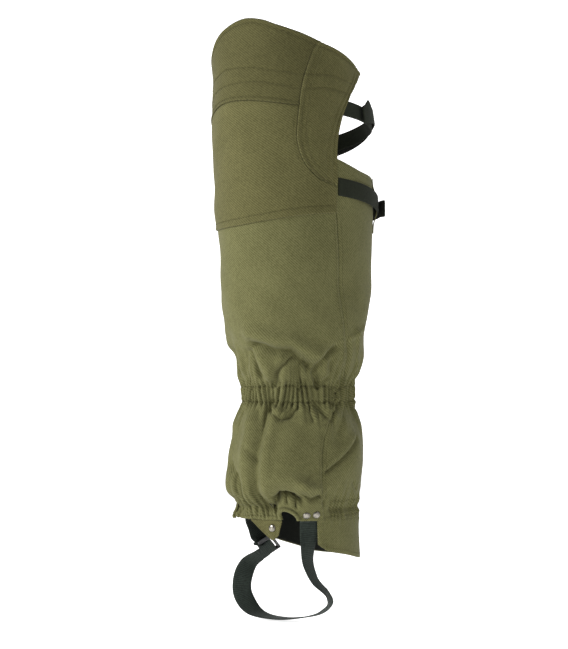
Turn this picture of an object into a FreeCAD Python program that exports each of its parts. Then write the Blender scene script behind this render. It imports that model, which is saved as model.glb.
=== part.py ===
import FreeCAD, Part
import math
import os

# Over-the-knee canvas gaiter for the left leg, drawn as it sits on a leg.
# Millimetres.  +Z runs up the leg, -Y points to the toe, +X to the outer side of the leg.
# The origin is on the leg's axis, level with the stitch line of the hem.
# Places on the cloth are given as (turn, height): degrees round the leg from the toe towards
# the outer side, and height above the hem.  "out" is the distance outward from the canvas.

V = FreeCAD.Vector
UP = V(0, 0, 1)

# ---- driving dimensions ------------------------------------------------------------------
CANVAS = 1.2                 # one layer of canvas
SIDE_MEAN = 88.0             # mean turn of the side seams, for edges that run to them
OVERLAY_IN = 1.4             # a sewn-on overlay starts this far out
OVERLAY_OUT = OVERLAY_IN + CANVAS
SEAM_GAP = 0.15              # half of the gap between pieces that meet edge to edge, degrees
WING_GAP = 1.1               # gap between wing and D-shaped seam, degrees

# leg form: height, front depth, rear depth, half width, centre y
LEG_FORM = (
    (-45, 54, 73, 61, 3),
    (0, 56, 70, 60, 3),
    (16, 66, 70, 61, 2),
    (31, 75, 74, 64, 1),
    (61, 77, 76, 66, 1),
    (96, 69, 71, 61, 3),
    (122, 61, 65, 54, 4),
    (142, 62, 65, 55, 4),
    (156, 68, 73, 59, 4),
    (176, 72, 77, 65, 4),
    (201, 80, 80, 69, 3),
    (242, 84, 84, 72, 3),
    (296, 87, 87, 75, 2),
    (361, 90, 89, 77, -1),
    (396, 88, 88, 76, -5),
    (451, 86, 84, 74, -9),
    (496, 82, 80, 71, -10),
    (541, 78, 78, 68, -12),
)
TILT_START, TILT_FULL = 246.0, 396.0     # the knee section leans: its inner side sits lower
TILT = 11.0 / 75.0

# edges of the cut pieces, as (turn, height) or (height, turn)
TOP_EDGE = ((-131, 460), (-90, 474), (-60, 484), (-30, 496), (-12, 510), (0, 516), (12, 519), (22, 518),
            (35, 512), (45, 505), (64, 496), (79, 489), (100, 480), (111, 474), (122, 467), (131, 461))
CALF_RIM = ((80, 371), (87, 369), (103, 362), (116, 359), (140, 359), (180, 358), (220, 359), (244, 359),
            (257, 362), (273, 369), (280, 371))
FLAP_EDGE = ((70, -20), (75, -26), (82, -30), (103, -36), (134, -44), (180, -45), (226, -44), (257, -36),
             (278, -30), (285, -26), (290, -20))
WING_EDGE = ((317, 85), (357, 85.5), (376, 86.5), (394, 90), (412, 95), (433, 101), (449, 109), (467, 122),
             (473, 127))
D_SEAM = ((341, 84), (346, 74), (354, 67), (363, 62), (375, 59), (390, 58), (419, 61), (440, 64), (461, 69),
          (480, 74), (491, 78))
SIDE_SEAM = ((0, 79), (45, 78), (84, 80), (109, 87), (145, 101), (182, 97), (235, 90), (300, 86), (330, 84),
             (390, 84))
WING_FOOT = 341.0                        # height of the wing's point
PANEL_SIDE, PANEL_FRONT = 316.5, 307.5   # lower edge of the knee panel at its sides and at the shin
BAND_EDGE = 421.0                        # lower edge of the band at its ends; it rises to the front
BAND_RISE = 12.0
PANEL_TOP = 336.0                        # top of the shin panel, under the knee panel

ANKLE_Z = (120.0, 144.0)     # tunnel of the ankle elastic
HEM_Z = (1.0, 21.0)          # tunnels of the hem elastic
HEM_FRONT = 31.0             # half spread of the front tunnel, degrees
HEM_REAR = (86.0, 274.0)

ARCH_TURN = 41.6             # the arched notch each side of the instep
ARCH_HALF, ARCH_TOP = 10.0, 15.0
PIPING_R, PIPING_OUT = 1.35, 1.2          # radius, and distance of its centre out from the canvas

WEBBING, WEBBING_T = 20.0, 1.4
ANCHOR = (52.2, 72.2)        # turns of the edges of the webbing riveted inside the hem
RIVET_TURNS, RIVET_Z = (59.5, 69.4), 6.5
ANCHOR_IN, HANG_IN = 0.9, 2.4               # webbing's outer face, in from the canvas: riveted, hanging
RIVET_R, RIVET_H, SHANK_R, HOLE_R = 4.0, 1.9, 1.25, 1.3
SWING_Y, SWING_Z = -21.8, -12.0          # the line that the instep strap swings about

TONGUE_AT = V(16.5, -50.8, 0)
TONGUE_ALONG = V(0.966, 0.259, 0)
TONGUE_OUT = V(0.259, -0.966, 0)
TONGUE_OUTLINE = ((-21, -1.1), (-17.5, -3.8), (0.8, -18.4), (5.5, -21.2), (8.5, -20.8), (14.6, -15.5),
                  (18.5, -1.1))
TONGUE_HALF_T = 1.0
HOOK_S, HOOK_Z, HOOK_CURL_Z = 7.0, -8.3, -16.8
HOOK_WIDTH, HOOK_T, HOOK_R = 6.0, 0.8, 2.2

BUCKLE_AT = V(-36, -5, -33)
BUCKLE_ALONG = V(0.53, 0.64, 0.55).normalize()
BUCKLE_ACROSS = V(0.341, -0.760, 0.548).normalize()
BUCKLE_SIZE = (18.0, 26.0, 4.5)          # along, across, thick
BAR_R, BAR_PITCH = 1.6, 7.4

STRAP_W, TAPE_W, TAPE_T = 16.5, 14.0, 0.6
STACK_LOOP, STACK_HOOK, STACK_OUTER = 1.45, 2.35, 3.0    # tape and upper strap, out from the lower one
KEEPER_TURN, KEEPER_HALF = 146.0, 3.4
KEEPER_Z, KEEPER_GAP, KEEPER_T = (305.0, 360.0), 3.5, 1.0


# ---- curves and the leg form -------------------------------------------------------------
def slope(rows, i, column):
    low, high = max(i - 1, 0), min(i + 1, len(rows) - 1)
    return (rows[high][column] - rows[low][column]) / (rows[high][0] - rows[low][0])


def smooth(rows, x, column=1):
    """Value at x of a smooth curve through the rows, whose first column is x."""
    x = min(max(x, rows[0][0]), rows[-1][0])
    i = 0
    while i < len(rows) - 2 and rows[i + 1][0] < x:
        i += 1
    span = rows[i + 1][0] - rows[i][0]
    s = (x - rows[i][0]) / span
    start, end = rows[i][column], rows[i + 1][column]
    leave, arrive = slope(rows, i, column) * span, slope(rows, i + 1, column) * span
    return (start + (end - start) * s * s * (3 - 2 * s)
            + leave * s * (1 - s) ** 2 - arrive * s * s * (1 - s))


def mix(a, b, s):
    return a + (b - a) * s


def frame_at(turn, height):
    """Point on the canvas's inner face, and the level outward direction there."""
    front, rear, half, centre = (smooth(LEG_FORM, height, column) for column in (1, 2, 3, 4))
    angle = math.radians(turn)
    depth = front if math.cos(angle) > 0 else rear
    x, y = half * math.sin(angle), centre - depth * math.cos(angle)
    outward = V(math.sin(angle) / half, -math.cos(angle) / depth, 0).normalize()
    ramp = min(max((height - TILT_START) / (TILT_FULL - TILT_START), 0), 1)
    lean = TILT * ramp * ramp * (3 - 2 * ramp)
    return V(x, y, height + lean * x), outward


def leg(turn, height, out=0.0):
    point, outward = frame_at(turn, height)
    return point + outward * out


def closed_solid(faces):
    shell = Part.Shell(faces)
    shell.sewShape()
    solid = Part.Solid(shell)
    if solid.Volume < 0:
        solid.reverse()
    return solid


def cloth(place, inner, outer, across=24, up=8):
    """Closed layer of cloth.  place(u, v) gives (turn, height); inner and outer are distances
    out from the canvas, or functions of (u, v)."""
    skins = []
    for out in (inner, outer):
        rows = []
        for i in range(across + 1):
            row = []
            for j in range(up + 1):
                u, v = i / across, j / up
                distance = out(u, v) if callable(out) else out
                row.append(leg(*place(u, v), distance))
            rows.append(row)
        skin = Part.BSplineSurface()
        skin.interpolate(rows)
        skins.append(skin)
    faces = [skin.toShape() for skin in skins]
    for side in range(4):
        edges = []
        for skin in skins:
            limit = skin.bounds()[side]
            curve = skin.uIso(limit) if side < 2 else skin.vIso(limit)
            edges.append(curve.toShape())
        faces.append(Part.makeRuledSurface(*edges))
    return closed_solid(faces)


def tube_patch(turns, heights):
    """Place function of a plain rectangle of cloth; a height may be a function of the turn."""
    def place(u, v):
        turn = mix(turns[0], turns[1], u)
        low, high = (h(turn) if callable(h) else h for h in heights)
        return turn, mix(low, high, v)
    return place


def panel_place(behind, low, high):
    """Place function of a panel between the two side seams, in front of them or behind."""
    def place(u, v):
        top = high(mix(-SIDE_MEAN, SIDE_MEAN, u) + 180 * behind) if callable(high) else high
        height = mix(low, top, v)
        seam = smooth(SIDE_SEAM, height)
        if behind:
            return mix(seam + SEAM_GAP, 360 - seam - SEAM_GAP, u), height
        return mix(-seam + SEAM_GAP, seam - SEAM_GAP, u), height
    return place


# ---- webbing and hardware ----------------------------------------------------------------
def webbing(route, width=WEBBING, thick=WEBBING_T, steps=3):
    """Flat webbing lofted along route: rows of (centre point, direction across)."""
    rows = []
    for i, (centre, across) in enumerate(route):
        rows.append((i, centre.x, centre.y, centre.z, across.x, across.y, across.z))
    count = (len(rows) - 1) * steps
    centres = []
    for k in range(count + 1):
        centres.append(V(*(smooth(rows, k / steps, column) for column in (1, 2, 3))))
    sections = []
    for k, centre in enumerate(centres):
        along = (centres[min(k + 1, count)] - centres[max(k - 1, 0)]).normalize()
        across = V(*(smooth(rows, k / steps, column) for column in (4, 5, 6)))
        across = (across - along * across.dot(along)).normalize()
        face = along.cross(across)
        corners = []
        for side, level in ((-1, -1), (1, -1), (1, 1), (-1, 1), (-1, -1)):
            corners.append(centre + across * (side * width / 2) + face * (level * thick / 2))
        sections.append(Part.makePolygon(corners))
    return Part.makeLoft(sections, True, False)


def half_disc(centre, across, radius=WEBBING / 2, thick=WEBBING_T):
    """Rounded top end of hanging webbing, in the plane of across and Z."""
    across = V(across).normalize()
    normal = across.cross(UP).normalize()
    start, top, end = centre - across * radius, centre + UP * radius, centre + across * radius
    outline = Part.Wire([Part.Arc(start, top, end).toShape(), Part.LineSegment(end, start).toShape()])
    outline.translate(normal * (-thick / 2))
    return Part.Face(outline).extrude(normal * thick)


def oriented(shape, at, direction):
    """Moves a shape drawn along +Z at the origin to a place and a direction."""
    shape.Placement = FreeCAD.Placement(at, FreeCAD.Rotation(UP, direction))
    return shape


def rivet(at, direction, grip):
    """Domed rivet: rounded head outside, shank through the grip, flat washer inside."""
    head = Part.makeCylinder(RIVET_R, RIVET_H)
    top_rim = [edge for edge in head.Edges if edge.BoundBox.ZMin > RIVET_H / 2]
    head = head.makeFillet(RIVET_H * 0.8, top_rim)
    shank = Part.makeCylinder(SHANK_R, grip + 0.2, V(0, 0, -grip - 0.1))
    washer = Part.makeCylinder(RIVET_R * 0.8, 0.6, V(0, 0, -grip - 0.6))
    return oriented(head.fuse([shank, washer]), at, direction)


def rivet_hole(at, direction, depth=16.0):
    return oriented(Part.makeCylinder(HOLE_R, depth, V(0, 0, -depth / 2)), at, direction)


def square_to_cloth(turn, height):
    """Point on the canvas's inner face, and the direction square to the cloth there."""
    step = 0.5
    along = leg(turn + step, height) - leg(turn - step, height)
    upward = leg(turn, height + step) - leg(turn, height - step)
    return leg(turn, height), along.cross(upward).normalize()


def side_places(side):
    """Centre and outward direction of the two strap rivets on one side (+1 outer, -1 inner)."""
    return [square_to_cloth(side * turn, RIVET_Z) for turn in RIVET_TURNS]


# ---- the canvas tube ---------------------------------------------------------------------
def arch_frame(side):
    """Foot of the notch, and its level, rising and outward directions along the sloping cloth."""
    foot, head = leg(side * ARCH_TURN, 0), leg(side * ARCH_TURN, ARCH_TOP)
    level = UP.cross(frame_at(side * ARCH_TURN, 0)[1])
    rising = (head - foot).normalize()
    return foot, level, rising, level.cross(rising)


def arch_outline(side, half, floor):
    """Open outline of the notch: two upright sides and a round head."""
    foot, level, rising, _ = arch_frame(side)
    spring = ARCH_TOP - ARCH_HALF

    def point(s, h):
        return foot + level * s + rising * h
    left, right = point(-half, floor), point(half, floor)
    head = Part.Arc(point(-half, spring), point(0, spring + half), point(half, spring))
    return left, right, [
        Part.LineSegment(left, point(-half, spring)).toShape(),
        head.toShape(),
        Part.LineSegment(point(half, spring), right).toShape(),
    ]


def arch_cutter(side):
    left, right, edges = arch_outline(side, ARCH_HALF + 0.05, -6)
    outward = arch_frame(side)[3]
    face = Part.Face(Part.Wire(edges + [Part.LineSegment(right, left).toShape()]))
    face.translate(outward * -9)
    return face.extrude(outward * 18)


def arch_binding(side):
    """Round piping along the edge of the notch."""
    _, _, rising, outward = arch_frame(side)
    left, _, edges = arch_outline(side, ARCH_HALF - PIPING_R, 0.6)
    circle = Part.Wire(Part.makeCircle(PIPING_R, left, rising))
    tube = Part.Wire(edges).makePipeShell([circle], True, False)
    tube.translate(outward * PIPING_OUT)
    return tube


def shin_panel():
    panel = cloth(panel_place(False, 0, PANEL_TOP), 0, CANVAS, 36, 84)
    tools = []
    for side in (-1, 1):
        tools.append(arch_cutter(side))
        tools += [rivet_hole(*place) for place in side_places(side)]
    return panel.cut(tools)


def calf_panel():
    return cloth(panel_place(True, 0, lambda turn: smooth(CALF_RIM, turn)), 0, CANVAS, 36, 84)


def heel_piece(inner, outer, inset, lift):
    turns = (FLAP_EDGE[0][0] + inset, FLAP_EDGE[-1][0] - inset)
    return cloth(tube_patch(turns, (lambda turn: smooth(FLAP_EDGE, turn) + lift, -0.3)), inner, outer, 32, 5)


# ---- the knee section --------------------------------------------------------------------
def top_edge(turn):
    return smooth(TOP_EDGE, turn)


def seam_turn(height):
    return WING_EDGE[0][1] if height < WING_FOOT else smooth(D_SEAM, height)


def knee_lining():
    return cloth(panel_place(False, PANEL_TOP + 1, lambda turn: top_edge(turn) - 0.6), 0, CANVAS, 32, 12)


def band_rise(turn):
    """How far the band's lower edge stands above its ends."""
    return BAND_RISE * math.cos(math.radians(turn * 90 / D_SEAM[-1][1])) ** 2


def knee_panel():
    """Overlay over the knee cap, widest at its foot and narrowed by the D-shaped seams."""
    def place(u, v):
        height = mix(PANEL_SIDE, BAND_EDGE - 0.4, v)
        turn = mix(-1, 1, u) * (seam_turn(height) - SEAM_GAP * 2)
        dip = (PANEL_FRONT - PANEL_SIDE) * math.cos(math.radians(turn)) ** 2
        return turn, height + dip * (1 - v) ** 3 + band_rise(turn) * v ** 3
    return cloth(place, OVERLAY_IN, OVERLAY_OUT, 28, 34)


def knee_band():
    def place(u, v):
        reach = seam_turn(mix(BAND_EDGE, D_SEAM[-1][0], v)) - SEAM_GAP * 2
        turn = mix(-reach, reach, u)
        return turn, mix(BAND_EDGE + 0.4 + band_rise(turn), top_edge(turn), v)
    return cloth(place, OVERLAY_IN, OVERLAY_OUT, 28, 8)


def knee_wing(side):
    """Free side wing, from its point at the side seam up to the top edge."""
    def place(u, share):
        v = share ** 1.5         # rows close together where the seam curves, at the foot
        seam_z = mix(WING_FOOT + 1.6, D_SEAM[-1][0] - 1, v)
        edge_z = mix(WING_FOOT + 2.2, WING_EDGE[-1][0] - 2, v)
        seam = seam_turn(seam_z) + WING_GAP
        edge = max(smooth(WING_EDGE, edge_z), seam + 1.2)
        turn = mix(seam, edge, u)
        rise = mix(seam_z, edge_z, u)
        head = top_edge(side * turn) - mix(D_SEAM[-1][0] - 1, WING_EDGE[-1][0] - 2, u)
        return side * turn, rise + head * v ** 3
    return cloth(place, OVERLAY_IN, OVERLAY_OUT, 12, 26)


# ---- elastics and facings ----------------------------------------------------------------
def ring_band(heights, inner, outer):
    """Band all round the leg, joined at the back."""
    return cloth(tube_patch((-179.7, 179.7), heights), inner, outer, 48, 4)


def hem_band(turns, margin, inner, outer):
    heights = (HEM_Z[0] + margin, HEM_Z[1] - margin)
    return cloth(tube_patch((turns[0] + margin, turns[1] - margin), heights), inner, outer, 20, 4)


def hem_facing(side):
    turns = sorted((side * (ANCHOR[0] + 3.3), side * (HEM_REAR[0] - 11)))
    body = cloth(tube_patch(turns, (0.5, 19)), -3.8, -2.6, 8, 4)
    return body.cut([rivet_hole(*place) for place in side_places(side)])


def strap_anchor(side):
    turns = sorted((side * ANCHOR[0], side * ANCHOR[1]))
    body = cloth(tube_patch(turns, (-1.5, 18)), -ANCHOR_IN - WEBBING_T, -ANCHOR_IN, 6, 4)
    return body.cut([rivet_hole(*place) for place in side_places(side)])


def strap_rivets(side):
    grip = 3.8 + CANVAS + 0.7
    heads = [rivet(at + outward * (CANVAS + 0.3), outward, grip) for at, outward in side_places(side)]
    return Part.makeCompound(heads)


# ---- tongue and lace hook ----------------------------------------------------------------
def tongue_point(s, z, out=0.0):
    return TONGUE_AT + TONGUE_ALONG * s + UP * z + TONGUE_OUT * out


def lace_tongue():
    corners = [tongue_point(s, z, -TONGUE_HALF_T) for s, z in TONGUE_OUTLINE]
    face = Part.Face(Part.makePolygon(corners + corners[:1]))
    body = face.extrude(TONGUE_OUT * (2 * TONGUE_HALF_T))
    return body.cut(rivet_hole(tongue_point(HOOK_S, HOOK_Z), TONGUE_OUT))


def lace_hook():
    """Strip hook behind the tongue: a flat plate that curls in towards the leg."""
    face_out = -TONGUE_HALF_T - 0.1
    curl_out = face_out - HOOK_T - HOOK_R
    start = HOOK_S - HOOK_WIDTH / 2

    def at(angle, radius):
        a = math.radians(angle)
        return tongue_point(start, HOOK_CURL_Z - radius * math.sin(a), curl_out + radius * math.cos(a))
    outer, inner, sweep = HOOK_R + HOOK_T, HOOK_R, 215
    top = HOOK_Z + 4.5
    plate_out, plate_in = tongue_point(start, top, face_out), tongue_point(start, top, face_out - HOOK_T)
    edges = [
        Part.LineSegment(plate_in, plate_out).toShape(),
        Part.LineSegment(plate_out, at(0, outer)).toShape(),
        Part.Arc(at(0, outer), at(sweep / 2, outer), at(sweep, outer)).toShape(),
        Part.LineSegment(at(sweep, outer), at(sweep, inner)).toShape(),
        Part.Arc(at(sweep, inner), at(sweep / 2, inner), at(0, inner)).toShape(),
        Part.LineSegment(at(0, inner), plate_in).toShape(),
    ]
    body = Part.Face(Part.Wire(edges)).extrude(TONGUE_ALONG * HOOK_WIDTH)
    return body.cut(rivet_hole(tongue_point(HOOK_S, HOOK_Z), TONGUE_OUT))


def lace_hook_rivet():
    grip = 2 * TONGUE_HALF_T + HOOK_T + 0.3
    return rivet(tongue_point(HOOK_S, HOOK_Z, TONGUE_HALF_T + 0.05), TONGUE_OUT, grip)


# ---- instep strap ------------------------------------------------------------------------
def swing_point(side):
    turn = side * (ANCHOR[0] + ANCHOR[1]) / 2
    at, outward = frame_at(turn, 0)
    at = at - outward * (HANG_IN + WEBBING_T / 2)
    return V(at.x, at.y, SWING_Z), UP.cross(outward)


def buckle_point(along, out):
    return BUCKLE_AT + BUCKLE_ALONG * along + BUCKLE_ALONG.cross(BUCKLE_ACROSS) * out


def instep_strap():
    """Webbing that hangs from the outer side, passes under the boot and up into the buckle."""
    top, across = swing_point(1)
    route = [(top, V(-0.47, -0.89, 0))]
    route += [
        (V(50, -24.4, -27), V(-0.40, -0.91, 0)),
        (V(49.2, -22.3, -48.6), V(0.0, -1.0, 0)),
        (V(50.7, -14.3, -62.6), V(0.45, -0.89, 0)),
        (V(52.9, 0.8, -77.8), V(0.766, -0.643, 0)),
        (V(48.2, 6.1, -90.7), V(0.766, -0.643, 0)),
        (V(32.3, 1.1, -100.4), V(0.60, -0.80, 0)),
        (V(-4.6, -11.7, -106.4), V(0.36, -0.93, 0)),
        (V(-33.4, -24.2, -101.5), V(-0.20, -0.98, 0)),
        (V(-50.4, -28.9, -88.6), V(-0.60, -0.80, 0)),
        (V(-55.3, -27.0, -71.3), V(-0.643, -0.766, 0)),
        (V(-52.6, -20.7, -54.0), V(-0.20, -0.90, 0.40)),
    ]
    for along, out in ((-16, 4.3), (-11, 4.5), (-7, 4.2), (-3, 3.3), (0, 2.7), (3.1, 1.5), (3.7, -0.8),
                       (1.6, -2.7), (-2.0, -2.9)):
        route.append((buckle_point(along, out), BUCKLE_ACROSS))
    return webbing(route).fuse(half_disc(top, across))


def buckle_tab():
    """Short webbing from the inner side, folded round the buckle's lower bar."""
    top, across = swing_point(-1)
    route = [(top, across), (top + V(0.9, 1.3, -5.5), across), (V(-46.0, -13.0, -24.0), V(0.40, -0.90, 0.20))]
    for along, out in ((-9.6, -6.0), (-10.2, -3.2), (-10.4, 0.2), (-7.4, 2.9), (-4.6, 0), (-5.6, -3.8)):
        route.append((buckle_point(along, out), BUCKLE_ACROSS))
    return webbing(route).fuse(half_disc(top, across))


def strap_buckle():
    """Ladder-lock buckle: two side rails and three round bars."""
    length, width, thick = BUCKLE_SIZE
    rail = (width - WEBBING - 0.8) / 2
    pieces = []
    for end in (-1, 1):
        corner = V(-length / 2, -rail / 2 + end * (width - rail) / 2, -thick / 2)
        box = Part.makeBox(length, rail, thick, corner)
        pieces.append(box.makeFillet(0.9, box.Edges))
    for step in (-1, 0, 1):
        start = V(step * BAR_PITCH, -(width - rail) / 2, 0)
        pieces.append(Part.makeCylinder(BAR_R, width - rail, start, V(0, 1, 0)))
    body = pieces[0].fuse(pieces[1:])
    out = BUCKLE_ALONG.cross(BUCKLE_ACROSS)
    turn = FreeCAD.Rotation(BUCKLE_ALONG, BUCKLE_ACROSS, out, "XZY")
    body.Placement = FreeCAD.Placement(BUCKLE_AT, turn)
    return body


# ---- knee straps -------------------------------------------------------------------------
# Each strap is two halves that overlap behind the knee: rows of (turn, height, out).
UPPER_NEAR = ((90, 423, -0.2), (98, 422, -0.1), (108, 421, 1.8), (125, 420, 4.0), (145, 419, 6.0),
              (170, 419, 7.0), (200, 416, 6.5))
UPPER_FAR = ((138, 440, 12.0), (146, 433, 10.6), (155, 426, 9.8), (170, 419, 10.1), (200, 411, 9.6),
             (225, 410, 6.5), (245, 412, 3.2), (259, 414, 1.8))
LOWER_NEAR = ((86.2, 341, 1.6), (105, 339, 2.0), (125, 336, 4.5), (140, 333, 6.6), (152, 332, 6.6),
              (170, 331, 5.6), (196, 329, 5.0))
LOWER_FAR = ((141, 329, 14.0), (148, 330, 10.2), (155, 330, 9.5), (170, 330, 8.7), (196, 330, 8.0),
             (220, 331, 5.6), (245, 335, 3.2), (270, 340, 2.2))


def strap_layer(rows, turns, lift, thick, width):
    """Part of a knee strap between two turns, lifted out from the strap's own line."""
    def place(u, v):
        turn = mix(turns[0], turns[1], u)
        return turn, smooth(rows, turn, 1) + width * (v - 0.5)

    def out(extra):
        return lambda u, v: smooth(rows, mix(turns[0], turns[1], u), 2) + extra
    return cloth(place, out(lift), out(lift + thick), 30, 4)


def knee_strap(rows):
    return strap_layer(rows, (rows[0][0], rows[-1][0]), 0, WEBBING_T, STRAP_W)


def loop_tape(near, turns):
    return strap_layer(near, turns, STACK_LOOP, TAPE_T, TAPE_W)


def hook_tape(far, turns):
    return strap_layer(far, turns, STACK_HOOK - STACK_OUTER, TAPE_T, TAPE_W)


def strap_keeper():
    """Upright canvas loop on the calf, standing off in the middle."""
    def bulge(v):
        rise = min(max(min(v, 1 - v) / 0.32 - 0.3, 0), 1)
        return CANVAS + 0.15 + KEEPER_GAP * rise * rise * (3 - 2 * rise)
    turns = (KEEPER_TURN - KEEPER_HALF, KEEPER_TURN + KEEPER_HALF)
    return cloth(tube_patch(turns, KEEPER_Z), lambda u, v: bulge(v), lambda u, v: bulge(v) + KEEPER_T, 4, 32)


# ---- all nodes ---------------------------------------------------------------------------
def nodes():
    yield "shin_panel", shin_panel()
    yield "calf_panel", calf_panel()
    yield "heel_flap", heel_piece(0, CANVAS, 0, 0)
    yield "heel_lining", heel_piece(-1.2, -0.2, 4.5, 1.0)
    yield "knee_lining", knee_lining()
    yield "knee_panel", knee_panel()
    yield "knee_band", knee_band()
    yield "lower_lining", ring_band((HEM_Z[1] + 2, ANKLE_Z[0] - 1), -1.6, -0.5)
    yield "ankle_casing", ring_band(ANKLE_Z, -2.6, -1.5)
    yield "ankle_elastic", ring_band((ANKLE_Z[0] + 3, ANKLE_Z[1] - 3), -1.3, -0.2)
    for name, turns in (("front", (-HEM_FRONT, HEM_FRONT)), ("rear", HEM_REAR)):
        yield "hem_casing_" + name, hem_band(turns, 0, -2.8, -1.7)
        yield "hem_elastic_" + name, hem_band(turns, 2, -1.5, -0.4)
    for name, side in (("left", 1), ("right", -1)):
        yield "knee_wing_" + name, knee_wing(side)
        yield "arch_binding_" + name, arch_binding(side)
        yield "hem_facing_" + name, hem_facing(side)
        yield "strap_anchor_" + name, strap_anchor(side)
        yield "strap_rivets_" + name, strap_rivets(side)
    yield "lace_tongue", lace_tongue()
    yield "lace_hook", lace_hook()
    yield "lace_hook_rivet", lace_hook_rivet()
    yield "instep_strap", instep_strap()
    yield "buckle_tab", buckle_tab()
    yield "strap_buckle", strap_buckle()
    for name, near, far, turns in (("upper", UPPER_NEAR, UPPER_FAR, (158, 198)),
                                   ("lower", LOWER_NEAR, LOWER_FAR, (157, 194))):
        yield name + "_strap_inner", knee_strap(near)
        yield name + "_strap_outer", knee_strap(far)
        yield name + "_loop_tape", loop_tape(near, turns)
        yield name + "_hook_tape", hook_tape(far, turns)
    yield "strap_keeper", strap_keeper()


os.makedirs("parts", exist_ok=True)
for name, shape in nodes():
    shape.exportStep("parts/" + name + ".step")
    box = shape.BoundBox
    print(f"{name:22s} valid={shape.isValid()} solids={len(shape.Solids)} volume={shape.Volume:9.0f} "
          f"x {box.XMin:.1f}..{box.XMax:.1f} y {box.YMin:.1f}..{box.YMax:.1f} z {box.ZMin:.1f}..{box.ZMax:.1f}")
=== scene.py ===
import math

import bpy
import numpy as np
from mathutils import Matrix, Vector


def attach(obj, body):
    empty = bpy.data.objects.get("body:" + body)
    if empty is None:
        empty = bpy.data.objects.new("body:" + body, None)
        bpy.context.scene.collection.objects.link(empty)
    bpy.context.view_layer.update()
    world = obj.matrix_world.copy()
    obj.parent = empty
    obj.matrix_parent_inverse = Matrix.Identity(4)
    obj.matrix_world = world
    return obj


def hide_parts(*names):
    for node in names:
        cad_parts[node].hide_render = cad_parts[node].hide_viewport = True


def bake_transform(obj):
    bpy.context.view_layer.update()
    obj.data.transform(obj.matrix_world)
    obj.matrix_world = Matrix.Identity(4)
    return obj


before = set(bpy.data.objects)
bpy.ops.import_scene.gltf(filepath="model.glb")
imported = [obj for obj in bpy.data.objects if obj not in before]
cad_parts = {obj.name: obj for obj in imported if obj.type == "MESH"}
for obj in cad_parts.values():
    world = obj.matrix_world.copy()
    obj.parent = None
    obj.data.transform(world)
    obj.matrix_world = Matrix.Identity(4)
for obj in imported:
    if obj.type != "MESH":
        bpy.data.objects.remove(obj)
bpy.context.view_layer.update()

# Over-the-knee canvas gaiter.  The sewing is worked out in millimetres on a leg form, as
# (turn, height): degrees round the leg from the toe towards the outer side, and height above
# the hem.  "out" is the distance outward from the canvas's inner face.  Meshes are in metres.

MM = 0.001
MM_PER_DEGREE = 1.12             # length round the leg of one degree, near enough for folds
HEM_MM_PER_DEGREE = 0.99         # the same at the hem
KNEE_MM_PER_DEGREE = 1.3         # and over the knee, for the swell of edges
MEAN_RADIUS = 72.0               # of the leg, for the wavelengths of the undulation
CANVAS = 1.2                     # one layer of canvas
OVERLAY_IN, OVERLAY_OUT = 1.35, 2.6
WEBBING, WEBBING_T = 20.0, 1.4   # instep webbing; all webbing has this thickness
TAPE_T = 0.6
THREAD = 0.28                    # radius of the sewing thread
STITCH, STITCH_GAP = 2.3, 0.9    # length of a stitch on top of the cloth, and the gap to the next

# leg form: height, front depth, rear depth, half width, centre y
LEG_FORM = (
    (-45, 54, 73, 61, 3),
    (0, 56, 70, 60, 3),
    (16, 66, 70, 61, 2),
    (31, 75, 74, 64, 1),
    (61, 77, 76, 66, 1),
    (96, 69, 71, 61, 3),
    (122, 61, 65, 54, 4),
    (142, 62, 65, 55, 4),
    (156, 68, 73, 59, 4),
    (176, 72, 77, 65, 4),
    (201, 80, 80, 69, 3),
    (242, 84, 84, 72, 3),
    (296, 87, 87, 75, 2),
    (361, 90, 89, 77, -1),
    (396, 88, 88, 76, -5),
    (451, 86, 84, 74, -9),
    (496, 82, 80, 71, -10),
    (541, 78, 78, 68, -12),
)
TILT_START, TILT_FULL, TILT = 246.0, 396.0, 11.0 / 75.0

# edges that run round the leg, as (turn, height)
TOP_EDGE = ((-131, 460), (-90, 474), (-60, 484), (-30, 496), (-12, 510), (0, 516), (12, 519), (22, 519),
            (35, 514.5), (45, 508), (64, 497.5), (79, 489), (100, 480), (111, 474), (122, 467), (131, 461))
CALF_RIM = ((80, 371), (87, 369), (103, 362), (116, 359), (140, 359), (180, 358), (220, 359), (244, 359),
            (257, 362), (273, 369), (280, 371))
FLAP_EDGE = ((70, -25), (75, -28.5), (82, -32), (103, -37), (134, -44), (180, -45), (215, -44), (232, -38),
             (250, -31), (262, -25), (290, -16))
# edges and seams that run up the leg, as (height, turn)
WING_EDGE = ((317, 85), (357, 85.5), (376, 86.5), (394, 90), (412, 95.5), (433, 105), (449, 113.5),
             (467, 123), (473, 127))
D_SEAM = ((341, 84), (346, 74), (354, 67), (363, 62), (375, 59), (390, 58), (419, 61), (440, 64), (461, 69),
          (480, 74), (491, 78))
SIDE_SEAM = ((0, 79), (45, 78), (84, 80), (109, 87), (145, 101), (182, 97), (235, 90), (300, 86), (330, 84),
             (390, 84))
WING_FOOT = 341.0
PANEL_SIDE, PANEL_FRONT, PANEL_TOP = 316.5, 307.5, 336.0
PANEL_ROW = 6.5                  # stitch row above the knee panel's foot
TOP_ROW = 4.5                    # stitch row below the top edge
BAND_FOOT_ROW = 4.0              # stitch row above the band's foot
CALF_TOP = 362.0                 # height of the calf panel before its rim is shaped
BUTT_GAP, LAP_GAP = 0.15, 0.6    # degrees between pieces that meet: in the tube, on the knee
BAND_EDGE, BAND_RISE = 419.5, 16.5
# the two stitch rows round the band, as (turn, height)
BAND_ROWS = ((0, 471), (26, 466), (45, 459), (66, 454), (86, 454), (103, 451), (112, 450))
BAND_ROWS_LOW = ((0, 454), (26, 451), (45, 445), (63, 439), (81, 440), (100, 438))

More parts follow.
